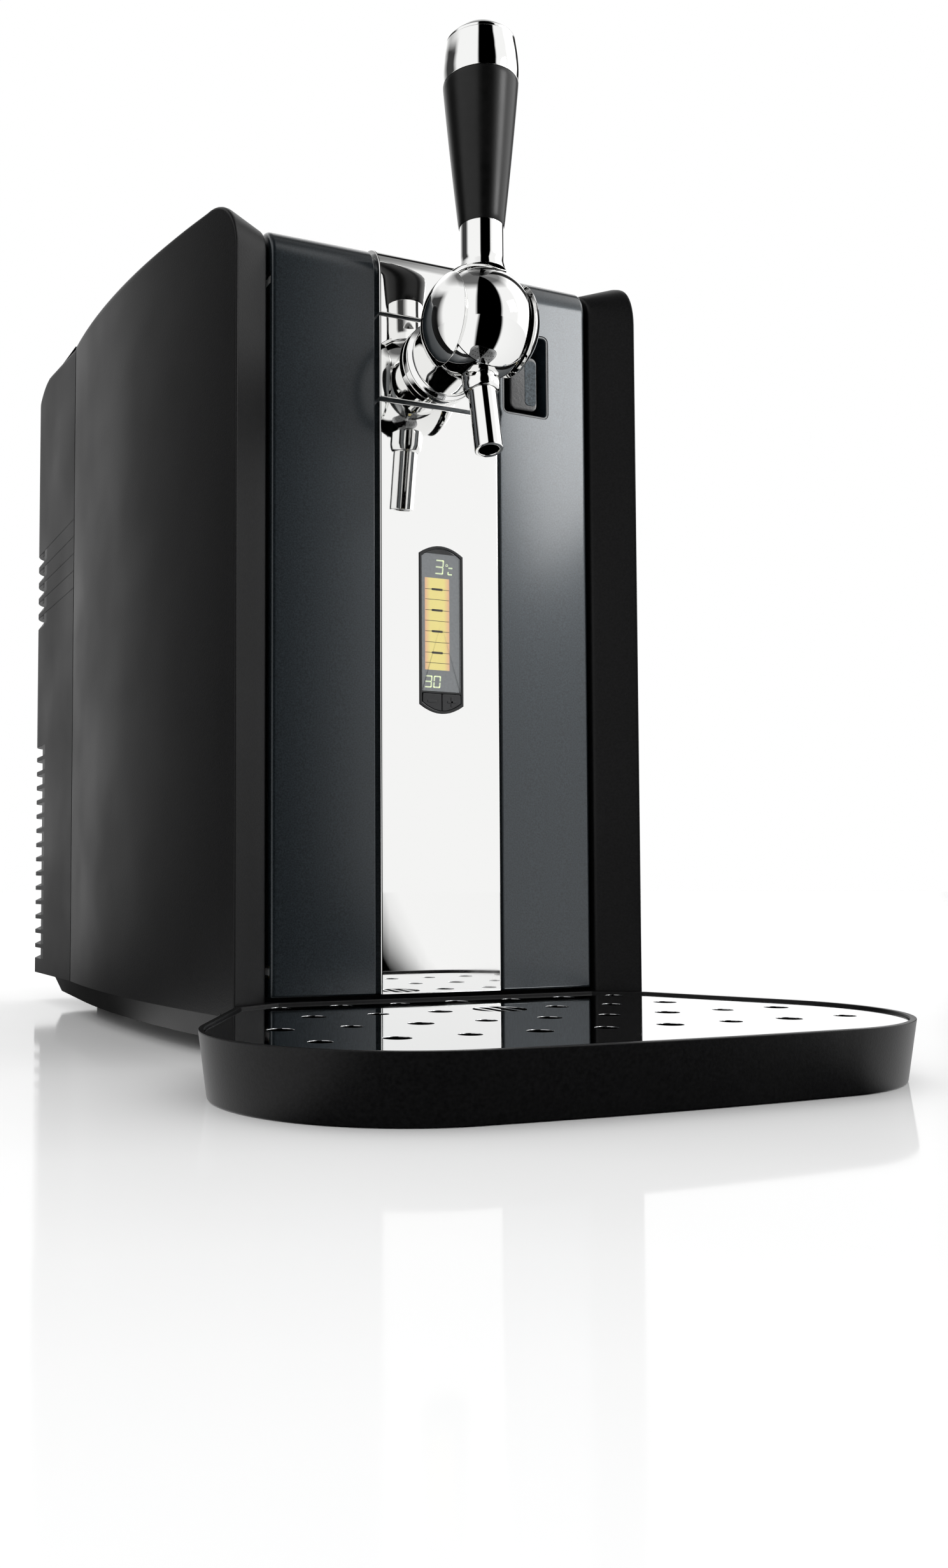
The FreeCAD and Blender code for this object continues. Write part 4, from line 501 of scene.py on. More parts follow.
def wing_grid():
    """Start at the jamb beside the door, go forward to the reveal's inner edge, out along the reveal,
    across the top edge and round the soft edge, then fan out over the side to its lower and rear
    edges."""
    ey, ez, ny, nz = side_line(WING_Y, WING_TOP, RISE, WING_R, SPLIT_FRONT)
    iy, iz, my, mz = side_line(0.0, REVEAL_TOP, REVEAL_RISE, CURVE_R, SPLIT_FRONT)
    rest = CURVE_ROWS + TOP_ROWS
    deep = np.interp(np.arange(len(ey)), [0, UP_ROWS - 1, UP_ROWS + CURVE_ROWS - 1, len(ey)],
                     [20.0, 20.0, 4.0, 3.0])
    cx = side_x(ey)
    dy, dz = np.minimum(ey + ny * SKIRT, SPLIT_FRONT), ez + nz * SKIRT
    point = lambda x, y, z: np.stack(np.broadcast_arrays(x, y, z), -1)
    # The section's corners: foot of the jamb, inner and outer edge of the reveal, the side's own edge,
    # and a point a little way down the side.
    a0 = point(-REVEAL_X, iy + my * deep, iz + mz * deep)
    a, b = point(-REVEAL_X, iy, iz), point(-WING_X, ey, ez)
    c, d = point(-cx, ey, ez), point(-side_x(dy), dy, dz)
    flat = np.maximum(cx - WING_X, 0)
    ways = [unit(a - a0), unit(b - a), point(-1.0, 0.0, 0.0) + 0 * a, unit(d - c)]
    lengths = [np.linalg.norm(a - a0, axis=-1), np.linalg.norm(b - a, axis=-1), flat]
    at = np.cumsum(lengths, axis=0)
    jamb, soft = 3.0, 3.2
    spread = lambda lo, hi, n: lo[:, None] + (hi - lo)[:, None] * np.linspace(0, 1, n)[None, :]
    u = np.concatenate([spread(0 * at[0], at[0] - jamb / 2, 3), spread(at[0] - 0.9, at[0] + jamb / 2, 5),
                        spread(at[0] + jamb, at[1] - soft / 2, 5),
                        spread(at[1] - soft / 2 + 0.5, at[2] + soft / 2, 15),
                        spread(at[2] + soft / 2 + 2, at[2] + SKIRT, 3)], axis=1)
    p = a0[:, None] + ways[0][:, None] * u[..., None]
    for k, w in ((0, jamb), (1, soft), (2, soft)):
        p = p + (ways[k + 1] - ways[k])[:, None] * ramp(u - at[k][:, None], w)[..., None]
    end = p[:, -1]
    qy = np.concatenate([np.linspace(end[0, 1], SPLIT_FRONT, UP_ROWS), np.full(rest, SPLIT_FRONT)])
    qz = np.concatenate([np.full(UP_ROWS, SEAM_Z), np.linspace(SEAM_Z, end[-1, 2], rest + 1)[1:]])
    t = np.linspace(0, 1, 30)[1:]
    y = end[:, 1:2] * (1 - t) + qy[:, None] * t
    z = end[:, 2:3] * (1 - t) + qz[:, None] * t
    p = np.concatenate([p, np.stack([-side_x(y), y, z], -1)], axis=1)
    return place(p[..., 0], np.minimum(p[..., 1], SPLIT_FRONT), np.maximum(p[..., 2], SEAM_Z))


WING = wing_grid()
WING_SHELL = shell(WING, WING - outward(WING, (-1, 0, 0)) * WALL * 0.0009)
for hand, skins in (("left", WING_SHELL), ("right", [mirrored(skin) for skin in WING_SHELL])):
    piece(f"{hand}_side", skins, SIDE_BLACK, "cabinet", [f"{hand}_side_panel"], crease=70)

# %% [markdown]
# ## The rear cover
#
# The back is one moulding with round upright corners. Blades cross its corners and its back: level ones
# low down, and steep ones like scales higher up, to let air through. They are a sawtooth in the rows of
# the grid: at the foot of each slot the wall leans in, runs up a little, and comes straight out again.

# %% Outline and blades
PLAIN_Z, EDGE = 302.0, 8.0
BACK_Y, BACK_R, CORNER_R, COVER_X = 354.0, 1100.0, 14.0, 129.4
GROOVE_Y, BLADE_Y, BLADE_CUT = 238.0, 318.0, 5.0
LOW_BLADES, LOW_Z, LOW_PITCH = 15, 31.0, 9.34
HIGH_BLADES, HIGH_Z, HIGH_PITCH = 5, 248.0, 10.4
LEVEL_BLADE = [(-3.5, 0.0), (-3.2, 0.2), (-0.9, BLADE_CUT), (3.3, BLADE_CUT), (3.5, 0.2), (3.8, 0.0)]
STEEP_BLADE = [(-4.6, 0.0), (-4.2, 0.2), (2.6, BLADE_CUT), (3.3, BLADE_CUT), (2.7, 0.25), (3.0, 0.0)]
INLET = (-76.0, -48.0, 27.0, 51.5)


def back_outline():
    """From the left groove round the back to the right groove: straight flared side, corner arc and
    back arc, with outward normals. The corner's centre lies one corner radius inside the side line and
    inside the back's circle."""
    start = np.array([side_x(GROOVE_Y), GROOVE_Y])
    end = np.array([COVER_X, BACK_Y - COVER_X ** 2 / (2 * BACK_R)])
    way = unit(end - start)
    out = np.array([way[1], -way[0]])
    a = np.linspace(0.05, 0.2, 40001)
    cx, cy = (BACK_R - CORNER_R) * np.sin(a), BACK_Y - BACK_R + (BACK_R - CORNER_R) * np.cos(a)
    k = np.argmin(np.abs((cx - start[0]) * out[0] + (cy - start[1]) * out[1] + CORNER_R))
    cx, cy, turn = cx[k], cy[k], a[k]
    low = math.atan2(out[1], out[0])
    y_low = cy + CORNER_R * math.sin(low)
    y_side = np.concatenate([np.linspace(SPLIT_REAR, BLADE_Y - 0.3, 12),
                             np.linspace(BLADE_Y + 0.3, y_low, 5)])
    b = np.linspace(low, math.pi / 2 - turn, 16)[1:]
    even = np.linspace(0, BACK_R * math.sin(turn), 24)[:-1]
    x_back = np.unique(np.concatenate([even, [-INLET[1], 75.0, -INLET[0]]]))[::-1]
    y_back = BACK_Y - BACK_R + np.sqrt(BACK_R ** 2 - x_back ** 2)
    x_side = start[0] + (y_side - GROOVE_Y) * way[0] / way[1]
    x = np.concatenate([x_side, cx + CORNER_R * np.cos(b), x_back])
    y = np.concatenate([y_side, cy + CORNER_R * np.sin(b), y_back])
    x, y = np.concatenate([-x, x[-2::-1]]), np.concatenate([y, y[-2::-1]])
    tx, ty = np.gradient(x), np.gradient(y)
    size = np.hypot(tx, ty)
    return x, y, -ty / size, tx / size


def top_z(y):
    """Height of the cabinet's top: a straight rise, then an arc of radius 44 down to the back, whose
    height is centre + square root of (radius^2 - distance^2)."""
    past = np.maximum(y - TOP_REAR_Y, 0)
    bend = TOP_REAR_Z - TOP_REAR_R + np.sqrt(np.maximum(TOP_REAR_R ** 2 - past ** 2, 0))
    straight = WING_TOP + (y - WING_Y - CURVE_R) * RISE
    return np.where(y < TOP_REAR_Y, straight, bend)


def blade_rows():
    """Height and depth of each row: the seam, the level slots low down, a plain stretch, and the steep
    slots higher up."""
    rows = [(SEAM_Z, 0.0), (24.0, 0.0)]
    for k in range(LOW_BLADES):
        rows += [(LOW_Z + LOW_PITCH * k + up, cut) for up, cut in LEVEL_BLADE]
    rows += [(z, 0.0) for z in np.linspace(176.0, 240.0, 7)]
    for k in range(HIGH_BLADES):
        rows += [(HIGH_Z + HIGH_PITCH * k + up, cut) for up, cut in STEEP_BLADE]
    return np.array(rows)


def rear_grids():
    """Wall rows from the seam to the top edge, the soft edge by two ramps (in by ramp(v), down by
    ramp(-v)), and the top, which runs forward to the groove."""
    x, y, nx, ny = back_outline()
    rows = blade_rows()
    cut = (y > BLADE_Y)[None, :] * rows[:, 1][:, None]
    z = np.repeat(rows[:, 0][:, None], len(x), 1)
    share = np.linspace(0, 1, 9)[1:, None]
    z = np.concatenate([z, PLAIN_Z + share * (top_z(y) - 6.0 - PLAIN_Z)[None, :]])
    cut = np.concatenate([cut, np.zeros((8, len(x)))])
    grids = []
    for wall in (0.0, WALL):
        wx = x - nx * (cut + wall)
        wy = y - ny * (cut + wall)
        v = np.linspace(-EDGE / 2, EDGE / 2, 11)[:, None]
        d = ramp(v, EDGE)
        ex, ey = x - nx * (d + wall), y - ny * (d + wall)
        ez = top_z(ey) - ramp(-v, EDGE) - wall
        sx = np.clip(x, -side_x(SPLIT_REAR) + wall, side_x(SPLIT_REAR) - wall)
        t = np.linspace(0, 1, 14)[1:, None]
        px, py = ex[-1] * (1 - t) + sx * t, ey[-1] * (1 - t) + SPLIT_REAR * t
        grids.append(place(np.vstack([wx, ex, px]), np.maximum(np.vstack([wy, ey, py]), SPLIT_REAR),
                           np.vstack([z, ez, top_z(py) - wall])))
    return grids[0], grids[1], x


# Middles of the columns and rows, in mm; the inlet's opening is left out of the grid.
REAR_OUT, REAR_IN, REAR_X = rear_grids()
COL_X = (REAR_X[1:] + REAR_X[:-1]) / 2
ROW_Z = (REAR_OUT[1:, 60, 2] + REAR_OUT[:-1, 60, 2]) * 500
KEEP = np.ones((len(ROW_Z), len(COL_X)), bool)
KEEP[np.ix_((ROW_Z > INLET[2]) & (ROW_Z < INLET[3]), (COL_X > INLET[0]) & (COL_X < INLET[1]))] = False
REAR_SKINS = shell(REAR_OUT, REAR_IN, KEEP)


def sill():
    """A level ring over the base, from just inside the wall to 9 mm inside it."""
    x, y, nx, ny = back_outline()
    inset = np.array([[0.3], [9.0]])
    ring = lambda z: place(x - nx * inset, np.maximum(y - ny * inset, SPLIT_REAR), z)
    return shell(ring(SEAM_Z + 0.05), ring(SEAM_Z + 2.0))


def groove_tongue():
    """A band behind the groove: up one side, over the top and down the other, 2.7 mm inside the cover."""
    w, h = side_x(GROOVE_Y) - 2.7, top_z(GROOVE_Y) - 2.7
    line = eased([(-w, SEAM_Z), (-w, h), (w, h), (w, SEAM_Z)], 6.0, 7)
    x, z = line[:, 0][:, None], line[:, 1][:, None]
    y = np.array([[232.0, 242.0]])
    outer = place(x, y, z)
    inner = place(x * (1 - 1.2 / w), y, z - 1.2 * (z > h - 1))
    return shell(outer, inner)


piece("rear_shell", REAR_SKINS + groove_tongue() + sill(), SIDE_BLACK, "cabinet", ["rear_cover"],
      crease=35)

# %% [markdown]
# ## The front: door panel, bright strip and lid
#
# The door's face is nearly flat: it stands out 2.4 mm in the middle. Over its top edge it curves back
# like a car's bonnet. All pieces of the front lie on that one surface, so one function gives it. It takes
# the place across, the place along the outline from the bottom over the top, and the depth under the
# face. The door, the strip's pieces and the lid are then tiles of that surface, each with its own eased
# edges.

# %% The front surface
FACE_TOP, DOOR_X, BULGE = 350.0, 80.7, 2.4
ARC_END = FACE_TOP + CURVE_R * math.pi / 2
TOP_LEAN = math.atan(34.0 / 282.4)


def front(a, b, depth):
    """Across a, along b, depth under the face. Upright: (a, depth - bulge, b). Over the top edge: on a
    circle of radius 16 - depth. Behind it: on the rising top. The bulge fades out over the top edge."""
    a, b, depth = np.broadcast_arrays(a, b, depth)
    turn = np.clip((b - FACE_TOP) / CURVE_R, 0, math.pi / 2)
    past = np.maximum(b - ARC_END, 0)
    r = CURVE_R - depth
    bulge = BULGE * np.minimum((a / DOOR_X) ** 2, 1.05) * (1 - turn / (math.pi / 2))
    upright, curved = depth - BULGE, CURVE_R - BULGE - r * np.cos(turn)
    y = np.where(b < FACE_TOP, upright, curved) + bulge + past * math.cos(TOP_LEAN)
    z = np.where(b < FACE_TOP, b, FACE_TOP + r * np.sin(turn)) + past * math.sin(TOP_LEAN)
    return place(a, y, z)


def tile(across, along, base, thick, warp=None, keep=None):
    """A closed slab on the front surface. across and along are eased sections of (place, depth); where
    both turn down, the deeper one counts, and a flat back closes it."""
    a, b = across[:, 0][None, :], along[:, 0][:, None]
    depth = np.minimum(across[:, 1][None, :] + along[:, 1][:, None], thick) + base
    a, b = np.broadcast_arrays(a, b)
    if warp:
        a, b = warp(a, b)
    outer, back = front(a, b, depth), front(a, b, base + thick)
    return shell(outer, back, keep) if keep is not None else [grid(outer), grid(back)]


def span(low, high, deep, ease, per_corner, extra):
    """Section of a slab from one place to another, as (place, depth): it turns down at both ends."""
    return eased([(low, deep), (low, 0), (high, 0), (high, deep)], ease, per_corner, extra=extra)


# %% Door panel
RECESS = (33.5, 59.0, 295.5, 336.0)


def door_skins():
    """Across: side, face, channel for the strip, face, side. Along: lower edge, face, curve, rear
    edge. The recess for the release and the two slots for the hinge arms are left out of the grid."""
    # Lengths along a section: it starts 16 mm deep, so a place lies 16 mm further on, and beyond the
    # channel by twice the channel's depth more. The section upwards starts at height 25, hence the - 9.
    x_of = lambda x: 16.0 + x + DOOR_X
    near_cup = [RECESS[0], 34.5, 36, 40, 46, 52, 56, 57.5, RECESS[1], 60, 61.5, 64, 68, 72]
    columns = np.concatenate([[3.0, 8.0, 14.0], x_of(np.linspace(-70, -40, 6)),
                              x_of(np.linspace(-25, 25, 6)) + 2.4, x_of(np.array(near_cup)) + 4.8])
    across = eased([(-DOOR_X, 16), (-DOOR_X, 0), (-32, 0), (-32, 2.4), (32, 2.4), (32, 0), (DOOR_X, 0),
                    (DOOR_X, 16)], [5.0, 1.0, 0.3, 0.3, 1.0, 5.0], 7, extra=columns)
    top = ARC_END + 5.9
    slots = [33.2, 38.8, 338.2, 343.8]
    cup = [295.5, 296.5, 298, 302, 310, 320, 328, 332, 334.5, 336.0, 337, 339.5, 292, 294]
    rows = np.concatenate([slots, cup, np.linspace(45, 285, 22), np.linspace(345, top - 3, 22)]) - 9
    along = eased([(25, 16), (25, 0), (top, 0), (top, 2.4)], [3.0, 1.5], 6, extra=rows)
    a, b = np.broadcast_arrays(across[:, 0][None, :], along[:, 0][:, None])
    mid = lambda g: (g[1:, 1:] + g[:-1, :-1]) / 2
    side = mid(np.broadcast_to(across[:, 1][None, :], a.shape)) > 1.2
    keep = ~((mid(a) > RECESS[0]) & (mid(a) < RECESS[1]) & (mid(b) > RECESS[2]) & (mid(b) < RECESS[3]))
    hinge = side & (mid(a) < -80) & ((np.abs(mid(b) - 36) < 2.8) | (np.abs(mid(b) - 341) < 2.8))
    keep &= ~hinge
    deepest = np.interp(b, [350, 375], [16.0, 2.4])
    depth = np.minimum(across[:, 1][None, :] + along[:, 1][:, None], deepest)
    wa, wb = bend_window(a, b, RECESS, 3.0)
    outer = front(wa, wb, depth)
    return shell(outer, outer - outward(outer, (0, -1, 0)) * 0.0014, keep)


piece("door_front", door_skins(), DOOR_BLUE, "door", ["door_panel"], crease=38)

# %% [markdown]
# The bright strip is thick plate with a polished bevel all round. That bevel draws the fine light line
# along its edges. It comes in three pieces on the door, with dark joints between, and runs on over the
# lid.

# %% Bright strip
STRIP_X, STRIP_DEEP, PROUD = 30.0, 3.6, 1.2
WINDOW_X, WINDOW_LOW, WINDOW_HIGH = 11.2, 155.0, 224.0
STRIP_COLUMNS = np.concatenate([np.linspace(-26, 26, 13), [-WINDOW_X, WINDOW_X, 9, -9]])
STRIP_ACROSS = span(-STRIP_X, STRIP_X, STRIP_DEEP, 1.5, 7, STRIP_DEEP + STRIP_X + STRIP_COLUMNS)


def strip_along(low, high, extra=()):
    """Section along the strip between two places, with eased ends."""
    return span(low, high, STRIP_DEEP, 1.0, 6, STRIP_DEEP + np.asarray(extra, float) - low)


def arch(a, b):
    """Bends the rows at both ends of the display's window into arches 4 mm high, by
    4 (1 - (across / half width)^2). The bend fades out over 30 mm away from the window and over 10 mm
    inside it."""
    fade = lambda gap, reach: np.clip(1 - gap / reach, 0, 1)
    rise = 4.0 * np.clip(1 - (a / WINDOW_X) ** 2, 0, 1)
    low = np.where(b <= WINDOW_LOW, fade(WINDOW_LOW - b, 30), fade(b - WINDOW_LOW, 10))
    high = np.where(b >= WINDOW_HIGH, fade(b - WINDOW_HIGH, 30), fade(WINDOW_HIGH - b, 10))
    return a, b - rise * low + rise * high


LOW_ROWS = np.concatenate([np.linspace(40, 150, 10), np.linspace(WINDOW_LOW, WINDOW_HIGH, 6),
                           np.linspace(229, 285, 8)])
LOW_ALONG = strip_along(25.2, 291.5, LOW_ROWS)
TAP_ALONG = strip_along(293.3, 330.85, np.linspace(297, 327, 6))
TOP_ALONG = strip_along(332.15, ARC_END + 5.9, np.linspace(336, ARC_END + 3, 26))
MID_A = (STRIP_ACROSS[1:, 0] + STRIP_ACROSS[:-1, 0]) / 2
MID_B = (LOW_ALONG[1:, 0] + LOW_ALONG[:-1, 0]) / 2
LOW_KEEP = ~((np.abs(MID_A) < WINDOW_X)[None, :] & ((MID_B > WINDOW_LOW) & (MID_B < WINDOW_HIGH))[:, None])
for name, packed, along, warp, keep in (("strip_long", "strip_lower", LOW_ALONG, arch, LOW_KEEP),
                                        ("strip_tap", "tap_plate", TAP_ALONG, None, None),
                                        ("strip_top", "strip_upper", TOP_ALONG, None, None)):
    piece(name, tile(STRIP_ACROSS, along, -PROUD, STRIP_DEEP, warp, keep), MIRROR, "door", [packed])

# %% Lid and the strip on it
LID_X, LID_FRONT, LID_STRIP_DEEP = 82.3, ARC_END + 6.9, 1.15
LID_ACROSS = span(-LID_X, LID_X, 3, 1.0, 5, 3 + LID_X + np.linspace(-70, 70, 9))
LID_ALONG = span(LID_FRONT, ARC_END + 225.5, 3, 1.2, 5, np.linspace(20, 200, 9))
piece("lid_panel", tile(LID_ACROSS, LID_ALONG, 0.0, 3.0), DOOR_BLUE, "cabinet", ["lid"])
LID_STRIP_ACROSS = span(-STRIP_X, STRIP_X, LID_STRIP_DEEP, 1.1, 7,
                        LID_STRIP_DEEP + STRIP_X + np.linspace(-26, 26, 9))
LID_STRIP_ALONG = span(LID_FRONT, ARC_END + 117, LID_STRIP_DEEP, 1.1, 6, np.linspace(10, 100, 8))
piece("strip_lid", tile(LID_STRIP_ACROSS, LID_STRIP_ALONG, -PROUD, LID_STRIP_DEEP), MIRROR, "cabinet",
      ["lid_strip"])


# %% [markdown]
# ## The display
#
# A black case with arched ends sits in the long strip. Under its smoked window lies a lit screen: the
# temperature, a bar for what is left in the keg, and the days since it was tapped. Two buttons fill the
# lower end. Flat pieces with eased edges are all made by one function: it takes a loop of points, draws
# it inwards step by step along an eased section, and closes both faces at their middle.

# %% Flat pieces from a loop
def loop_normals(loop):
    """Outward normals of a loop that runs round its middle, from the neighbours of each point."""
    t = np.roll(loop, -1, 0) - np.roll(loop, 1, 0)
    n = unit(np.stack([t[:, 1], -t[:, 0]], -1))
    return n if ((loop - loop.mean(0)) * n).sum() > 0 else -n


def slab(loop, near, far, ease, lift=place):
    """A plate between two depths: rings at (inset, depth) of an eased section, with a pole in the
    middle of each face. lift turns (across, depth, up) into points."""
    loop, n, mid = np.asarray(loop, float), loop_normals(np.asarray(loop, float)), np.mean(loop, axis=0)
    section = eased([(ease, near), (0, near), (0, far), (ease, far)], ease, 5)
    rings = [(loop - n * inset, depth) for inset, depth in section]
    rings = [(0 * loop + mid, near)] + rings + [(0 * loop + mid, far)]
    points = np.stack([lift(ring[:, 0], depth, ring[:, 1]) for ring, depth in rings])
    wall = grid(points[1:-1], wrap_cols=True)
    return [wall, grid(points[:2], wrap_cols=True), grid(points[-2:], wrap_cols=True)]


def round_box(x0, x1, z0, z1, r, n=7):
    """A rectangle's loop with round corners: four quarter circles."""
    a = np.linspace(0, math.pi / 2, n)
    corner = lambda cx, cz, s: np.stack([cx + r * np.cos(a + s), cz + r * np.sin(a + s)], -1)
    return np.concatenate([corner(x1 - r, z1 - r, 0), corner(x0 + r, z1 - r, math.pi / 2),
                           corner(x0 + r, z0 + r, math.pi), corner(x1 - r, z0 + r, 1.5 * math.pi)])


def pill(grow, floor=None, per_arch=17):
    """The display's loop, counter-clockwise: z = end + 4 (x / half width)^2 at the foot, mirrored at
    the top. With a floor, the lower end is level instead."""
    half = 11.1 + grow
    x = half * np.sin(np.linspace(-math.pi / 2, math.pi / 2, per_arch))
    foot = 151 - grow + 4 * (x / half) ** 2 if floor is None else np.full(per_arch, floor)
    top = 228 + grow - 4 * (x / half) ** 2
    side = np.linspace(0.1, 0.9, 5)
    right = np.stack([np.full(5, half), foot[-1] + (top[-1] - foot[-1]) * side], -1)
    left = np.stack([np.full(5, -half), top[0] + (foot[0] - top[0]) * side], -1)
    return np.concatenate([np.stack([x, foot], -1), right, np.stack([x, top], -1)[::-1], left])


# %% Case, window and screen
CASE_Y = -3.85


def case_skins():
    """A ring round the window and buttons: an eased section carried round the pill. A thin bridge
    parts the window from the buttons, and a plate closes the back."""
    section = eased([(0, 7.5), (0, 0), (-1.3, 0), (-1.3, 7.5)], 0.6, 5, closed=True)
    rings = np.stack([place(pill(g)[:, 0], CASE_Y + d, pill(g)[:, 1]) for g, d in section])
    bridge = slab(round_box(-9.9, 9.9, 160.35, 161.15, 0.15), CASE_Y + 0.1, CASE_Y + 7.0, 0.15)
    back = slab(pill(0.0), CASE_Y + 7.0, CASE_Y + 9.4, 0.2)
    return [grid(rings, wrap_rows=True, wrap_cols=True)] + bridge + back


piece("display_surround", case_skins(), GLOSS_BLACK, "door", ["display_case"])


def glass_finish():
    """Grey-tinted acrylic: clear, smooth, and darkening what lies under it a little."""
    mat, tree, shader, where = finish("smoked_acrylic", IOR=1.49, Transmission_Weight=1.0)
    shader.inputs["Base Color"].default_value = linear("#b9bcbe")
    tree.links.new(uneven(tree, where, 80.0, 0.02, 0.05), shader.inputs["Roughness"])
    return mat


def lit(name, core, rim, strength, scale=900.0):
    """A lit part of the screen: two close colours, and the same colours as its light."""
    mat, tree, shader, where = finish(name, Roughness=0.5, Emission_Strength=strength)
    colour = mottled(tree, where, scale, rim, core)
    tree.links.new(colour, shader.inputs["Base Color"])
    tree.links.new(colour, shader.inputs["Emission Color"])
    return mat


def bar_light():
    """The level bar's light: amber in the middle, pinker towards its two upright edges, by distance
    from the bar's own middle, 1.6 mm to the left of the axis."""
    mat, tree, shader, where = finish("amber_level_light", Roughness=0.5, Emission_Strength=1.6)
    parts = node(tree, "ShaderNodeSeparateXYZ", [("Vector", where)])
    off = node(tree, "ShaderNodeMath", [(0, parts.outputs[0])], operation="ADD")
    off.inputs[1].default_value = 0.0016
    far = node(tree, "ShaderNodeMath", [(0, off.outputs[0])], operation="ABSOLUTE")
    band = node(tree, "ShaderNodeMapRange", [("Value", far.outputs[0])], From_Min=0.0035, From_Max=0.0062)
    mix = node(tree, "ShaderNodeMix", [("Factor", band.outputs[0])], data_type="RGBA")
    mix.inputs[6].default_value = linear("#f8e58f")
    mix.inputs[7].default_value = linear("#f2b795")
    tree.links.new(mix.outputs[2], shader.inputs["Base Color"])
    tree.links.new(mix.outputs[2], shader.inputs["Emission Color"])
    return mat


GLASS = glass_finish()
SCREEN_GREY = lit("grey_screen_film", "#8c8d8e", "#808182", 1.35)
DIGIT_LIGHT = lit("pale_green_digit_light", "#f4f8cc", "#e2f2c4", 1.6)
TICK_DARK = lit("printed_tick_grey", "#5a4f42", "#4c443a", 0.15)
GLASS_LOOP = pill(-1.36, floor=161.2)
SCREEN_LOOP = round_box(-9.7, 9.7, 161.3, 224.5, 0.6)
piece("display_window", slab(GLASS_LOOP, CASE_Y + 0.12, CASE_Y + 1.2, 0.25), GLASS, "door",
      ["display_glass"])
piece("screen_face", slab(SCREEN_LOOP, CASE_Y + 1.6, CASE_Y + 3.4, 0.2), SCREEN_GREY, "door",
      ["display_screen"])

# %% Level bar, ticks and digits
LIGHT_Y = CASE_Y + 1.5


def bar_of(x0, x1, z0, z1, lean=0.0, foot=0.0):
    """One flat bar of light: a rectangle with three points on each side. It leans right by lean per
    millimetre of height above foot."""
    corners = np.array([(x0, z0), (x1, z0), (x1, z1), (x0, z1)], float)
    ahead = np.roll(corners, -1, axis=0)
    share = np.array([0.06, 0.5, 0.94])[None, :, None]
    box = (corners[:, None] * (1 - share) + ahead[:, None] * share).reshape(-1, 2)
    box[:, 0] += (box[:, 1] - foot) * lean
    return slab(box, LIGHT_Y, LIGHT_Y + 0.09, 0.03)


def digit(x, z, w, h, on):
    """A seven-segment digit whose lower left corner is (x, z): a top, b and c right, d foot, e and f
    left, g middle. Each segment is a leaning bar a little shorter than its side."""
    t, g = 0.62, 0.28
    x0, x1, right, mid, top = x + g, x + w - g, x + w, z + h / 2, z + h
    bars = {"a": (x0, x1, top - t, top), "g": (x0, x1, mid - t / 2, mid + t / 2), "d": (x0, x1, z, z + t),
            "b": (right - t, right, mid + g, top - g), "c": (right - t, right, z + g, mid - g),
            "f": (x, x + t, mid + g, top - g), "e": (x, x + t, z + g, mid - g)}
    return [s for k in on for s in bar_of(*bars[k], lean=0.09, foot=z)]


def ring_of(x, z, r):
    """The small degree ring."""
    a = np.linspace(0, 2 * math.pi, 25)[:-1]
    rows = np.array([(r, 0.0), (r, 0.08), (r - 0.25, 0.08), (r - 0.25, 0.0)])
    points = np.stack([place(x + q * np.cos(a), LIGHT_Y + 0.08 - d, z + q * np.sin(a)) for q, d in rows])
    return [grid(points, wrap_rows=True, wrap_cols=True)]


BAR_X0, BAR_X1 = -7.7, 4.6
LEVEL_LOOP = round_box(BAR_X0, BAR_X1, 171.1, 213.3, 0.1)
piece("level_light", slab(LEVEL_LOOP, LIGHT_Y + 0.04, LIGHT_Y + 0.1, 0.02), bar_light(), "door", ())
TICKS = []
for k, z in enumerate((208.1, 203.4, 198.5, 193.6, 188.8, 183.8, 179.0, 174.3)):
    TICKS += bar_of(BAR_X0 + 0.1, BAR_X1 - 0.1, z - 0.12, z + 0.12)
    if k % 2 == 0:
        TICKS += bar_of(-4.3, 1.2, z - 0.5, z + 0.5)
piece("level_ticks", TICKS, TICK_DARK, "door", (), crease=20)
# The temperature with its degree sign above the bar, the days below it.
DIGITS = digit(-2.7, 215.2, 4.2, 6.7, "abgcd") + ring_of(3.4, 219.6, 0.62)
DIGITS += digit(3.7, 215.2, 2.6, 3.6, "aed")
DIGITS += digit(-8.1, 162.9, 3.6, 5.6, "abgcd") + digit(-3.8, 162.9, 3.6, 5.6, "abcdef")
piece("digit_lights", DIGITS, DIGIT_LIGHT, "door", (), crease=20)


# %% Buttons with raised signs
def button_skins(side):
    """A key whose lower outer corner follows the case's arch: the loop runs along the arch, then up
    and back."""
    x = np.linspace(0.2, 9.55, 9) * side
    foot = 152.45 + 4 * (x / 9.9) ** 2
    rest = np.array([(9.55, 158.6), (9.4, 159.9), (9.0, 160.05), (5.0, 160.1), (0.6, 160.05), (0.2, 159.8),
                     (0.2, 156.0)])
    loop = np.concatenate([np.stack([x, foot], -1), rest * [side, 1]])
    key = slab(loop, -4.05, -2.0, 0.35)
    sign = slab(round_box(5.0 * side - 2.2, 5.0 * side + 2.2, 156.0, 157.1, 0.3), -4.28, -3.9, 0.25)
    if side > 0:
        sign += slab(round_box(4.45, 5.55, 154.35, 158.75, 0.3), -4.28, -3.9, 0.25)
    return key + sign


SIGN_BLACK = satin_black("soft_black_key", "#17181a", "#202124", 0.3)
piece("key_minus", button_skins(-1), SIGN_BLACK, "minus_button", ["minus_button"])
piece("key_plus", button_skins(1), SIGN_BLACK, "plus_button", ["plus_button"])

# %% [markdown]
# ## The release
#
# Beside the tap, a deep cup in the door holds the lever of the catch. The cup is a small drawn bowl:
# rings from its back over the rim and down to its floor. The lever is a gloss black block with a grained
# pad for the finger.

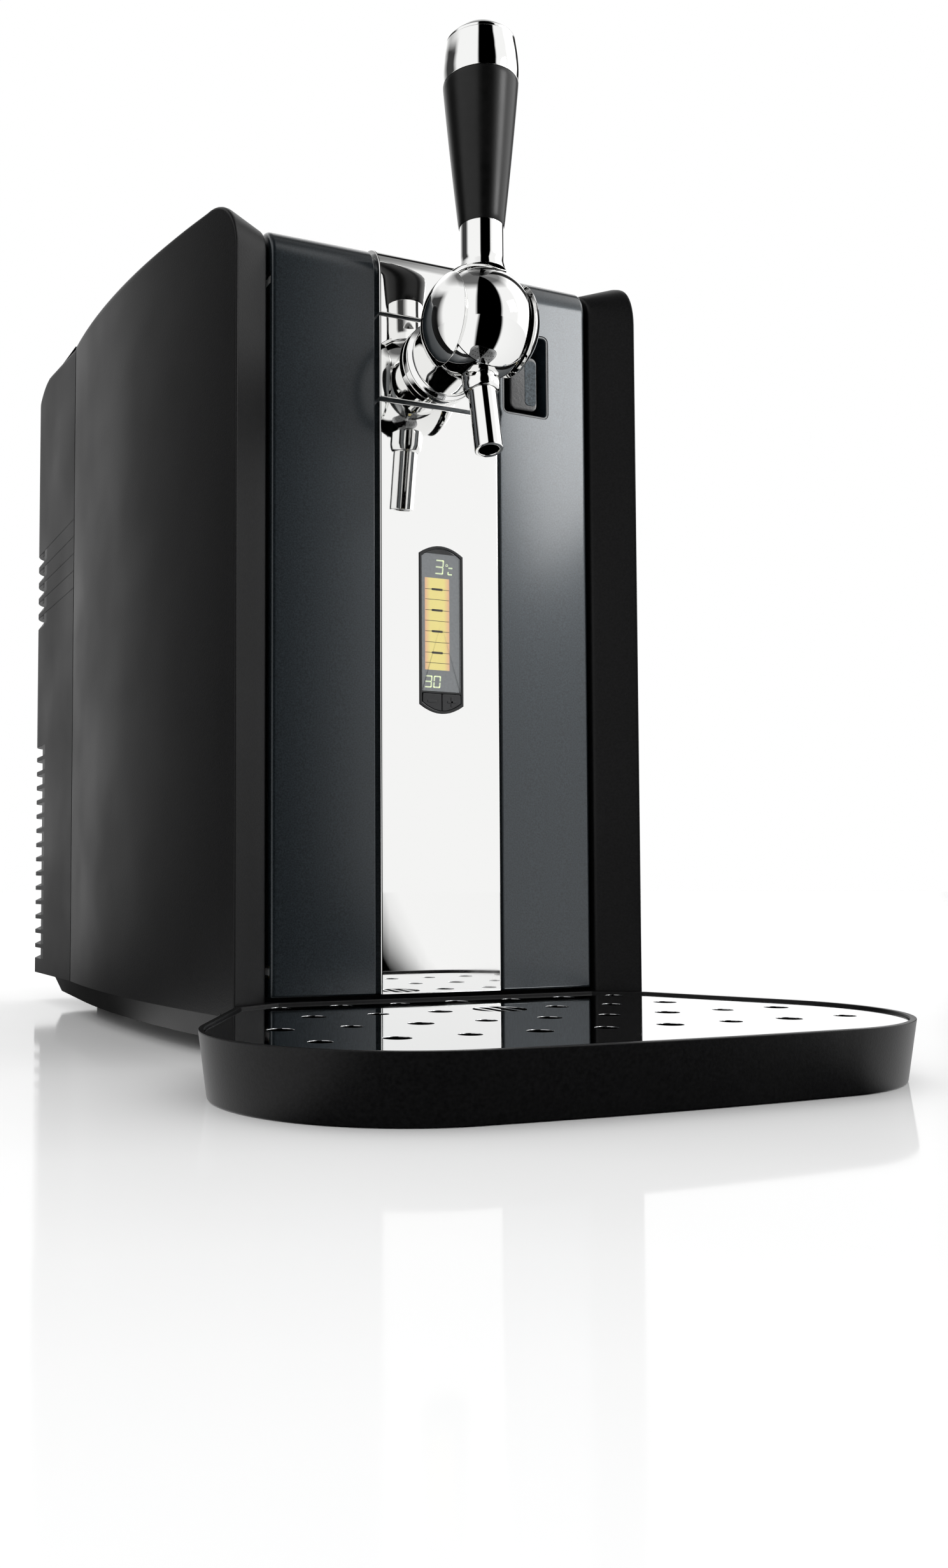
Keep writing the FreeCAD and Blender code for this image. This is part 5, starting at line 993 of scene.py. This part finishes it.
# %% Cup and lever
def cup_skins():
    """Rings of a round-cornered rectangle at (grow, depth): back, outer wall, rim, inner wall and
    floor."""
    section = eased([(-0.1, 13.4), (-0.1, 0.3), (-1.3, 0.3), (-2.2, 12.0), (-8.0, 12.0)],
                    [0.5, 0.8, 2.0], 5)
    x0, x1, z0, z1 = RECESS
    mid = np.array([(x0 + x1) / 2, (z0 + z1) / 2])
    rings = []
    for grow, depth in section:
        loop = round_box(x0 - grow, x1 + grow, z0 - grow, z1 + grow, max(3.0 + grow, 0.5))
        rings.append(front(loop[:, 0], loop[:, 1], depth))
    n = len(rings[0])
    pole = lambda depth: front(np.full(n, mid[0]), np.full(n, mid[1]), depth)
    points = np.stack([pole(13.4)] + rings + [pole(12.0)])
    return [grid(points[:2], wrap_cols=True), grid(points[1:-1], wrap_cols=True),
            grid(points[-2:], wrap_cols=True)]


piece("release_bowl", cup_skins(), CUP_BLACK, "door", ["release_cup"], crease=60)
LEVER_LOOP = round_box(40.0, 55.0, 300.0, 326.5, 3.2)
PAD_LOOP = round_box(48.2, 54.2, 302.8, 324.5, 2.0)
piece("lever_block", slab(LEVER_LOOP, 2.6, 6.4, 1.4), GLOSS_BLACK, "release_lever", ["release_lever"])
piece("lever_pad", slab(PAD_LOOP, 2.35, 2.9, 0.4), LEVER_GREY, "release_lever", ())

# %% [markdown]
# ## The tap
#
# The tap's ball has three parts: a middle slice on the arm, a front dome that flips down, and two side
# caps that belong to the handle. A yoke over the top joins the caps to the handle's neck. Most of it is
# turned on a lathe, so it is made the same way here: a section is carried round an axis.

# %% Turned pieces
TAP_Y, TAP_Z, BALL_R, BALL_X, HANDLE_Y = -42.5, 314.5, 23.4, 16.3, -44.5


def turned(section, centre, axis, steps=72):
    """Each section point (radius, distance along the axis) goes round it: centre + axis * distance +
    radius * (side cos + other sin). Sections that start and end at radius 0 close the piece."""
    axis = unit(np.asarray(axis, float))
    side = unit(np.cross(axis, [0.31, 0.52, 0.79]))
    other = np.cross(axis, side)
    a = np.linspace(0, 2 * math.pi, steps + 1)[:-1]
    r, h = np.asarray(section, float).T
    ring = side[None, :] * np.cos(a)[:, None] + other[None, :] * np.sin(a)[:, None]
    p = np.asarray(centre, float) + h[:, None, None] * axis + r[:, None, None] * ring[None]
    return [grid(place(p[..., 0], p[..., 1], p[..., 2]), wrap_cols=True)]


def arc_section(r, h0, h1, n):
    """Points on a circle of radius r between two distances along the axis, as (radius, distance)."""
    h = r * np.sin(np.linspace(math.asin(h0 / r), math.asin(h1 / r), n))
    return np.stack([np.sqrt(r * r - h * h), h], -1)


# %% Ball, dome and arm
def slice_grid(r, first, last, n=40):
    """Part of a sphere between two side planes and a front plane: x across, angle v round the x axis
    from first(x) to last(x); y = -rho cos, z = rho sin, rho = sqrt(r^2 - x^2)."""
    x = BALL_X * np.sin(np.linspace(-math.pi / 2, math.pi / 2, 33))[None, :]
    rho = np.sqrt(r * r - x * x)
    t = np.linspace(0, 1, n)[:, None]
    v = first(rho) + (last(rho) - first(rho)) * t
    return place(x + 0 * v, TAP_Y - rho * np.cos(v), TAP_Z + rho * np.sin(v))


def dome_skins():
    """The thin front cap: outer sphere, inner sphere, and rims."""
    edge = lambda rho: np.arccos(np.clip(9.9 / rho, -1, 1))
    outer = slice_grid(BALL_R, lambda q: -edge(q), edge)
    inner = slice_grid(BALL_R - 2.2, lambda q: -edge(q), edge)
    return shell(outer, inner)


def ball_skins():
    """The middle slice behind the dome, closed by its two flat sides and its front plane, with the
    turned arm, its flange and the shank that goes into the door."""
    edge = lambda rho: np.arccos(np.clip(9.5 / rho, -1, 1))
    outer = slice_grid(BALL_R, edge, lambda q: 2 * math.pi - edge(q), n=70)
    front_plane = np.stack([outer[0], outer[-1]])
    sides, lips = [], []
    for k, s in ((0, -1), (-1, 1)):
        pole = place(s * BALL_X, TAP_Y - 9.0, TAP_Z)
        sides.append(grid(np.stack([outer[:, k], np.broadcast_to(pole, outer[:, k].shape)])))
        lips.append(grid(np.stack([outer[[0, -1], k], np.repeat(pole[None], 2, 0)])))
    arm = eased([(0, 0), (18.7, 0), (18.7, 4.2), (16.6, 6.2), (15.6, 14.0), (15.2, 30.0), (0, 30.0)],
                [0.8, 1.6, 2.4, 6.0, 1.0], 6)
    return [grid(outer), grid(front_plane)] + sides + lips + turned(arm, (0, -3.65, 312.6), (0, -1, 0))


piece("tap_ball", ball_skins(), MIRROR, "door", ["tap_body"], crease=40)
piece("ball_dome", dome_skins(), MIRROR, "tap_dome", ["tap_dome"], crease=40)


# %% Yoke with side caps, neck and stub
def yoke_skins():
    """Two side caps, turned round the x axis, and the band between them over the ball: a spherical
    strip between two upright planes, x = rho sin, z = rho cos, with an eased section."""
    big = 25.7
    flat, start = math.sqrt(big ** 2 - 16.9 ** 2), math.sqrt(big ** 2 - 18.4 ** 2)
    cap = np.vstack([eased([(0, 16.7), (flat, 16.7), (start, 18.4)], 0.9, 5)[:-1],
                     arc_section(big, 18.0, big, 22)])
    cap[-1] = 0.0, big
    skins = [skin for s in (-1, 1) for skin in turned(cap, (0, TAP_Y, TAP_Z), (s, 0, 0))]
    over = big - 0.08
    section = eased([(-4.6, 23.9), (-4.6, over), (4.6, over), (4.6, 23.9)], 1.4, 5, closed=True)
    a = np.linspace(-0.82, 0.82, 44)[:, None]
    depth, r = section[:, 0][None, :], section[:, 1][None, :]
    y = HANDLE_Y - TAP_Y + depth
    rho = np.sqrt(r * r - y * y)
    band = place(rho * np.sin(a), TAP_Y + y + 0 * a, TAP_Z + rho * np.cos(a))
    skins.append(grid(band, wrap_cols=True))
    for k in (0, -1):
        middle = np.broadcast_to(band[k].mean(0), band[k].shape)
        skins.append(grid(np.stack([band[k], middle]), wrap_cols=True))
    return skins


piece("yoke_band", yoke_skins(), MIRROR, "tap_handle", ["handle_yoke"], crease=40)
NECK = eased([(0, 23.75), (5.3, 23.5), (10.6, 22.2), (9.5, 26.4), (9.5, 42.1), (0, 42.1)],
             [0.5, 0.3, 3.0, 0.5], 7)
piece("neck_tube", turned(NECK, (0, HANDLE_Y, TAP_Z), (0, 0, 1)), MIRROR, "tap_handle", ["handle_neck"],
      crease=40)

# %% [markdown]
# The grip is black lacquer on a turned blank, narrow at the neck and wider towards the top. A
# barrel-shaped chrome band and a domed cap plate finish it.

# %% Grip, band and cap
def grip_section():
    """Radius over height share t: 9.9 + 6.45 t + 0.8 t (1 - t), with a small soft edge at both ends."""
    t = np.linspace(0, 1, 30)[1:-1]
    body = np.stack([9.9 + 6.45 * t + 0.8 * t * (1 - t), 356.6 + 62.9 * t], -1)
    foot, head = [(0, 356.6), (9.5, 356.6), (9.85, 357.0)], [(16.3, 419.2), (16.0, 419.5), (0, 419.5)]
    return np.vstack([foot, body, head])


piece("grip_turned", turned(grip_section(), (0, HANDLE_Y, 0), (0, 0, 1)), GRIP_BLACK, "tap_handle",
      ["handle_grip"], crease=40)
BAND = eased([(0, 419.55), (16.35, 419.55), (16.75, 425.0), (16.35, 431.5), (15.5, 437.3), (0, 437.3)],
             [0.5, 5.0, 5.0, 0.7], 7)
piece("band_ring", turned(BAND, (0, HANDLE_Y, 0), (0, 0, 1)), MIRROR, "tap_handle", ["handle_band"],
      crease=40)
CAP = eased([(0, 437.45), (15.1, 437.45), (15.2, 438.6), (12.6, 441.6), (7.0, 443.5), (0, 444.0)],
            [0.3, 1.6, 4.0, 5.0], 7)
piece("cap_dome", turned(CAP, (0, HANDLE_Y, 0), (0, 0, 1)), MIRROR, "tap_handle", ["handle_cap"],
      crease=40)

# %% Collar and spout
LEAN = math.radians(12.0)
SPOUT_WAY = (0.0, -math.sin(LEAN), -math.cos(LEAN))
SPOUT_AT = (0.0, TAP_Y, 293.0)
COLLAR = eased([(6.25, -3.0), (8.1, -3.0), (8.1, 6.0), (7.4, 8.3), (6.25, 8.9), (6.25, -3.0)],
               [0.5, 1.8, 1.6, 0.8], 6)
TUBE = eased([(4.3, -2.0), (6.1, -2.0), (6.1, 36.2), (4.3, 36.2), (4.3, -2.0)], [0.4, 0.9, 0.9], 6)
for name, section, packed in (("collar_ring", COLLAR, "spout_collar"), ("spout_pipe", TUBE, "spout_tube")):
    piece(name, turned(section, SPOUT_AT, SPOUT_WAY), MIRROR, "door", [packed], crease=40)

# %% [markdown]
# ## The drip tray
#
# The tray's outline is straight where it fits round the cabinet's front, flares out, and turns through
# two large round corners into a slightly bowed front. Its wall leans in towards the worktop. The outline
# is worked out once as a function of an inset, so every ring of the section has the same points in the
# same order.

# %% Tray outline
TRAY_X0, TRAY_X1, TRAY_FRONT, TRAY_BOW, TRAY_R = 93.0, 185.5, -181.0, 2.0, 72.0


def tray_loop(inset, back):
    """Half the loop: middle of the back, notch round the wing, flared side, corner arc that touches
    side and front line, and the bowed front; then its mirror image. Points are spaced evenly on each
    stretch."""
    x0, x1, yf, r = TRAY_X0 - inset, TRAY_X1 - inset, TRAY_FRONT + inset, TRAY_R - inset
    tilt = (x1 - x0) / -yf
    side = np.array([tilt, -1.0]) / math.hypot(tilt, 1)
    reach = r * math.tan(math.pi / 4 + math.atan2(side[0], -side[1]) / 2)
    a, b = np.array([x1, yf]) - side * reach, np.array([x1 - reach, yf])
    wing_y = WING_Y - 1.2 - inset
    knots = np.array([(0, back), (REVEAL_X - 1.2 - inset, back), (x0 - tilt * wing_y, wing_y), a])
    legs = np.linalg.norm(np.diff(knots, axis=0), axis=1)
    ends = np.concatenate([[0], np.cumsum(legs)])
    extra = [ends[k] + legs[k] * np.linspace(0.1, 0.9, n) for k, n in enumerate((8, 3, 9))]
    fillet = eased(knots, [0.8, 3.0], 5, extra=np.concatenate(extra))
    start = math.atan2(a[1] - (b[1] + r), a[0] - b[0])
    turn = np.linspace(start, -math.pi / 2, 34)[1:]
    arc = np.stack([b[0] + r * np.cos(turn), b[1] + r + r * np.sin(turn)], -1)
    x = np.linspace(b[0], 0, 16)[1:]
    bow = np.stack([x, yf - TRAY_BOW * (1 - (x / b[0]) ** 2)], -1)
    half = np.concatenate([fillet, arc, bow])
    return np.concatenate([half, half[-2:0:-1] * [-1, 1]])


# %% Tray
def tray_skins():
    """Foot, leaning wall, eased rim, plate seat, inner wall and floor as rings at (inset, height, back
    edge), with a pole in the middle of each flat face."""
    line = eased([(9.0, 0.0, -5.5), (4.5, 0.0, -1.0), (0.0, 23.4, -1.0), (3.0, 23.4, -4.0),
                  (3.2, 21.0, -4.2), (5.4, 21.0, -7.4), (9.7, 2.2, -9.0), (20.0, 2.2, -20.0)],
                 [1.6, 1.0, 0.7, 0.3, 0.6, 2.5], 6)
    rings = np.stack([place(*tray_loop(i, back).T, z) for i, z, back in line])
    pole = lambda z: np.broadcast_to(place(0.0, -85.0, z), (1, rings.shape[1], 3))
    return [grid(np.concatenate([pole(0.0), rings[:1]]), wrap_cols=True), grid(rings, wrap_cols=True),
            grid(np.concatenate([rings[-1:], pole(2.2)]), wrap_cols=True)]


piece("tray_bowl", tray_skins(), TRAY_BLACK, "drip_tray", ["drip_tray"], crease=50)

# %% [markdown]
# The plate on the tray is polished steel with punched holes. Its flat faces are filled between the outer
# loop and the hole loops by a triangulation, because a grid can't follow that many holes. Each hole's
# lip is a small turned section. The drain in the middle has three bars across it.

# %% Plate with holes
PLATE_Z, PLATE_T = 22.4, 1.4
PLATE_LOW = PLATE_Z - PLATE_T
DRAIN_AT, DRAIN_R = (0.0, -56.0), 11.5


def hole_list():
    """Centre and radius of each hole: four rows 39 mm apart, every 27.2 mm across, two sizes by turns.
    The drain takes the middle place of the second row."""
    holes = []
    for row in range(4):
        n = 3 + row // 2
        for k in range(-n, n + 1):
            if not (row == 1 and k == 0):
                holes.append((k * 27.2, -17.0 - 39.0 * row, 4.6 if (k + row) % 2 == 0 else 3.9))
    return holes


HOLES = [(x, y, r + 0.7) for x, y, r in hole_list()] + [(*DRAIN_AT, DRAIN_R + 0.1)]


def flat_fill(loops, z, up):
    """One level face between an outer loop and the loops of its holes, by a constrained triangulation."""
    points = [tuple(p) for loop in loops for p in loop]
    edges, faces, at = [], [], 0
    for loop in loops:
        n = len(loop)
        edges += [(at + k, at + (k + 1) % n) for k in range(n)]
        faces.append(list(range(at, at + n)))
        at += n
    out, _, tris, *_ = delaunay_2d_cdt(points, edges, faces, 1, 1e-5)
    flat = np.array([tuple(p) for p in out])
    tris = np.array([t for t in tris if len(t) == 3])
    mid = flat[tris].mean(1)
    inside = np.ones(len(tris), bool)
    for x, y, r in HOLES:
        inside &= np.hypot(mid[:, 0] - x, mid[:, 1] - y) > r * 0.995
    tris = tris[inside]
    cells = np.concatenate([tris, tris[:, 2:]], 1)
    normals = np.broadcast_to(np.array([0.0, 0.0, up]), (len(cells), 4, 3))
    return place(flat[:, 0], flat[:, 1], z), cells, normals


def ring_xy(x, y, r, n=40):
    """A circle of points in the plan."""
    a = np.linspace(0, 2 * math.pi, n + 1)[:-1]
    return np.stack([x + r * np.cos(a), y + r * np.sin(a)], -1)


def plate_skins():
    """Two filled faces, the outer edge, a lip down each hole, and three bars across the drain."""
    rim = eased([(1.0, PLATE_Z), (0.0, PLATE_Z), (0.0, PLATE_LOW), (1.0, PLATE_LOW)], 0.5, 5)
    loops = [tray_loop(3.7 + i, -6.0 - i) for i, _ in rim]
    edge = np.stack([place(q[:, 0], q[:, 1], z) for q, (_, z) in zip(loops, rim)])
    skins = [grid(edge, wrap_cols=True)]
    lips = [ring_xy(x, y, r) for x, y, r in HOLES]
    skins.append(flat_fill([loops[0]] + lips, PLATE_Z, 1.0))
    skins.append(flat_fill([loops[-1]] + lips, PLATE_LOW, -1.0))
    for x, y, r in HOLES:
        lip = eased([(r, PLATE_Z), (r - 0.35, PLATE_Z), (r - 0.35, PLATE_LOW), (r, PLATE_LOW)],
                    [0.35, 0.2], 5)
        skins.append(grid(np.stack([place(*ring_xy(x, y, q).T, z) for q, z in lip]), wrap_cols=True))
    for x in (-5.75, 0.0, 5.75):
        half = math.sqrt(10.9 ** 2 - x ** 2) + 0.6
        bar = round_box(x - 1.0, x + 1.0, DRAIN_AT[1] - half, DRAIN_AT[1] + half, 0.4)
        skins += slab(bar, PLATE_Z - 0.15, PLATE_LOW + 0.1, 0.35, lambda x, d, y: place(x, y, d))
    return skins


piece("tray_plate", plate_skins(), PLATE_MIRROR, "drip_plate", ["drip_plate"], crease=60)

# %% [markdown]
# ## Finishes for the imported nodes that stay
#
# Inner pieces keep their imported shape, which is right as it is. Each gets the finish of its real
# material.

# %% Inner finishes
STAY = {
    INNER_WHITE: ["chamber_liner", "keg_seat", "keg_coupler", "door_liner", "chamber_frame"],
    FOAM: ["chamber_foam", "door_foam"],
    RUBBER: ["foot_front_left", "foot_front_right", "foot_rear_left", "foot_rear_right", "door_seal"],
    ALUMINIUM: ["cold_plate", "heat_sink"],
    STEEL: ["screw_low_left", "screw_low_right", "dome_pin", "tap_pin_left", "tap_pin_right",
            "hinge_pin_lower", "hinge_pin_upper", "temperature_probe"],
    CERAMIC: ["cooling_module"],
    BOARD: ["control_board"],
    HOSE: ["air_hose"],
    DARK_PLASTIC: ["fan_frame", "fan_rotor", "power_supply", "air_pump", "board_carrier", "mains_inlet",
                   "latch_hook"],
    BASE_BLACK: ["base"],
}
for material, names in STAY.items():
    for name in names:
        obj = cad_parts[name]
        obj.data.materials.clear()
        obj.data.materials.append(material)
kept = [name for names in STAY.values() for name in names]
print("nodes that keep their packed shape:", len(kept), "of", len(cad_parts))

# %% [markdown]
# ## Floor, light and camera
#
# The floor is a pale gloss board in a white studio. Scattered light is even and comes from all round.
# Mirrors need something dark to reflect, or they look flat. So mirrors see panels in that studio: black
# in front, black at the rear right, a low dark one at the rear left and a dim ceiling. The right side is
# brighter than the rest.

# %% Floor
# Painted reflection: what mirrors see of the floor, as emitted light by share of a turn round the machine:
# black in front and at the rear left, glowing light elsewhere. 0 and 1 are the front, 0.25 the left, 0.5
# the back and 0.75 the right.
FLOOR_PAINTED_REFLECTION = [(0.0, 0.0), (0.075, 0.0), (0.09, 1.0), (0.27, 1.0), (0.33, 0.05), (0.42, 0.05), (0.47, 0.8),
               (0.94, 1.0), (0.952, 0.0), (1.0, 0.0)]


def levels(tree, value, stops):
    """A grey value from a list of (place, brightness) stops, straight between them."""
    made = node(tree, "ShaderNodeValToRGB", [("Fac", value)])
    made.color_ramp.elements[0].position, made.color_ramp.elements[1].position = stops[0][0], stops[-1][0]
    for at, _ in stops[1:-1]:
        made.color_ramp.elements.new(at)
    for element, (_, grey) in zip(made.color_ramp.elements, stops):
        element.color = (grey, grey, grey, 1)
    return made.outputs[0]


def turn_of(tree, way):
    """Share of a turn of a direction or a place: atan2(x, y), from -pi..pi to 0..1."""
    parts = node(tree, "ShaderNodeSeparateXYZ", [("Vector", way)])
    angle = node(tree, "ShaderNodeMath", [(0, parts.outputs[0]), (1, parts.outputs[1])],
                 operation="ARCTAN2")
    turn = node(tree, "ShaderNodeMapRange", [("Value", angle.outputs[0])], From_Min=-math.pi,
                From_Max=math.pi)
    return turn.outputs[0], parts.outputs[2]


def floor_finish():
    """A pale gloss board for the eye and for scattered light. Mirrors see a painted reflection on it
    instead, which the eye never sees: an emission that paints black sheets in front and at the rear left
    and glows light elsewhere. Is Glossy Ray chooses between the two."""
    mat, tree, shader, where = finish("pale_gloss_board_painted_reflection", IOR=1.12)
    tree.links.new(mottled(tree, where, 3.0, "#f6f6f6", "#fbfbfb"), shader.inputs["Base Color"])
    tree.links.new(uneven(tree, where, 6.0, 0.05, 0.09), shader.inputs["Roughness"])
    # Painted reflection: the emitted brightness that only mirrors see on the board, black sheets and
    # glowing light.
    painted_reflection_level = levels(tree, turn_of(tree, where)[0], FLOOR_PAINTED_REFLECTION)
    painted_reflection_glow = node(tree, "ShaderNodeEmission", [("Color", painted_reflection_level)], Strength=1.0)
    eye = node(tree, "ShaderNodeLightPath")
    mix = node(tree, "ShaderNodeMixShader", [(0, eye.outputs["Is Glossy Ray"]), (1, shader.outputs[0]),
                                             (2, painted_reflection_glow.outputs[0])])
    tree.links.new(mix.outputs[0], tree.nodes["Material Output"].inputs[0])
    return mat


def floor():
    """A level disc: rings whose radius grows from the middle outwards."""
    a = np.linspace(0, 2 * math.pi, 65)[:-1]
    r = np.array([0.0, 0.5, 1.5, 4.0, 12.0, 40.0])[:, None]
    points = np.stack([r * np.cos(a), r * np.sin(a), 0 * r * a - 0.0002], -1)
    mesh, _ = mesh_of("floor", [grid(points, wrap_cols=True)], 60)
    obj = bpy.data.objects.new("floor", mesh)
    bpy.context.scene.collection.objects.link(obj)
    mesh.materials.append(floor_finish())
    if mesh.polygons[0].normal.z < 0:
        mesh.flip_normals()
    obj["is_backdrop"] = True


floor()


# %% Studio light
# Brightness round the horizon, by share of a turn: a black panel in front, a narrow one at the rear
# right, and a bright right side.
ROUND = [(0.0, 0.0), (0.09, 0.0), (0.105, 1.0), (0.27, 1.0), (0.33, 0.95), (0.44, 0.95), (0.47, 1.12),
         (0.63, 1.12), (0.645, 0.03), (0.695, 0.03), (0.71, 1.7), (0.80, 1.7), (0.85, 1.0), (0.943, 1.0),
         (0.957, 0.0), (1.0, 0.0)]
# The low panel at the rear left keeps the cabinet's long side dark. This is how light it is.
LOW_PANEL = [(0.0, 1.0), (0.28, 1.0), (0.32, 0.05), (0.40, 0.05), (0.45, 0.6), (0.49, 1.0), (1.0, 1.0)]


def studio():
    """The world. Camera rays see plain white, scattered light is even, and reflections see white with
    the panels: brightness = round(turn) * (1 - low(height) * (1 - low panel(turn))) *
    overhead(height)."""
    world = bpy.data.worlds.new("studio")
    bpy.context.scene.world = world
    world.use_nodes = True
    tree = world.node_tree
    tree.nodes.clear()
    turn, height = turn_of(tree, node(tree, "ShaderNodeTexCoord").outputs["Generated"])
    low = levels(tree, height, [(0.0, 1.0), (0.62, 1.0), (0.74, 0.0), (1.0, 0.0)])
    panel = levels(tree, turn, LOW_PANEL)
    lift = node(tree, "ShaderNodeMix", [("Factor", low)], data_type="RGBA")
    lift.inputs[6].default_value = (1, 1, 1, 1)
    tree.links.new(panel, lift.inputs[7])
    around = levels(tree, turn, ROUND)
    overhead = levels(tree, height, [(0.0, 1.0), (0.80, 1.0), (0.93, 0.15), (1.0, 0.15)])
    product = node(tree, "ShaderNodeVectorMath", [(0, around), (1, lift.outputs[2])], operation="MULTIPLY")
    total = node(tree, "ShaderNodeVectorMath", [(0, product.outputs[0]), (1, overhead)],
                 operation="MULTIPLY")
    mirrored_light = node(tree, "ShaderNodeBackground", [("Color", total.outputs[0])], Strength=1.0)
    soft_light = node(tree, "ShaderNodeBackground", Strength=1.12)
    soft_light.inputs[0].default_value = linear("#ffffff")
    seen = node(tree, "ShaderNodeBackground", Strength=1.0)
    seen.inputs[0].default_value = linear("#ffffff")
    eye = node(tree, "ShaderNodeLightPath")
    scattered = node(tree, "ShaderNodeMixShader", [(0, eye.outputs["Is Diffuse Ray"]),
                                                   (1, mirrored_light.outputs[0]),
                                                   (2, soft_light.outputs[0])])
    mix = node(tree, "ShaderNodeMixShader", [(0, eye.outputs["Is Camera Ray"]), (1, scattered.outputs[0]),
                                             (2, seen.outputs[0])])
    node(tree, "ShaderNodeOutputWorld", [("Surface", mix.outputs[0])])


studio()


def softbox(name, turn, rise, away, size, roll, power):
    """A rectangular lamp on a sphere round the machine: turn in degrees to the right of the front,
    rise above the floor, away in metres, roll about its own axis. It faces the middle of the door and
    only shows in gloss."""
    aim = Vector((0.0, -0.09, 0.2))
    t, e = math.radians(turn), math.radians(rise)
    way = Vector((math.sin(t) * math.cos(e), -math.cos(t) * math.cos(e), math.sin(e)))
    lamp = bpy.data.lights.new(name, "AREA")
    lamp.shape = "RECTANGLE"
    lamp.size, lamp.size_y = size
    lamp.energy = power
    obj = bpy.data.objects.new(name, lamp)
    bpy.context.scene.collection.objects.link(obj)
    obj.location = aim + way * away
    facing = way.to_track_quat("Z", "Y") @ Quaternion((0, 0, 1), math.radians(roll))
    obj.rotation_euler = facing.to_euler()
    obj.visible_diffuse = False


softbox("right_softbox", turn=42.0, rise=25.0, away=2.0, size=(0.6, 0.6), roll=16.0, power=8.5)

# %% [markdown]
# The camera stands low, a little above the tray, to the left of the machine, and looks slightly up. Its
# focal length and optical middle are given in pixels of the frame. The longer side of the frame is as
# long as the sensor, so lens = focal length / height * sensor.

# %% Camera
FRAME_WIDE, FRAME_HIGH, FOCAL, SENSOR = 1489, 2464, 2020.07, 36.0
MIDDLE_X, MIDDLE_Y = 560.0, 1300.88
camera = bpy.data.objects.new("camera", bpy.data.cameras.new("camera"))
bpy.context.scene.collection.objects.link(camera)
camera.location = (-0.2583, -0.6096, 0.0712)
camera.rotation_euler = (math.radians(90 + 2.784), math.radians(0.088), math.radians(-22.577))
camera.data.sensor_fit = "AUTO"
camera.data.sensor_width = SENSOR
camera.data.lens = FOCAL / FRAME_HIGH * SENSOR
camera.data.shift_x = (FRAME_WIDE / 2 - MIDDLE_X) / FRAME_HIGH
camera.data.shift_y = (MIDDLE_Y - FRAME_HIGH / 2) / FRAME_HIGH
camera.data.clip_start = 0.01
bpy.context.scene.camera = camera
bpy.context.scene.view_settings.view_transform = "Standard"

# %% Sizes and finish
SIZE = {"cad": CAD_BOX, "visual": [list(corner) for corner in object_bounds()]}
print("visual box", SIZE["visual"])
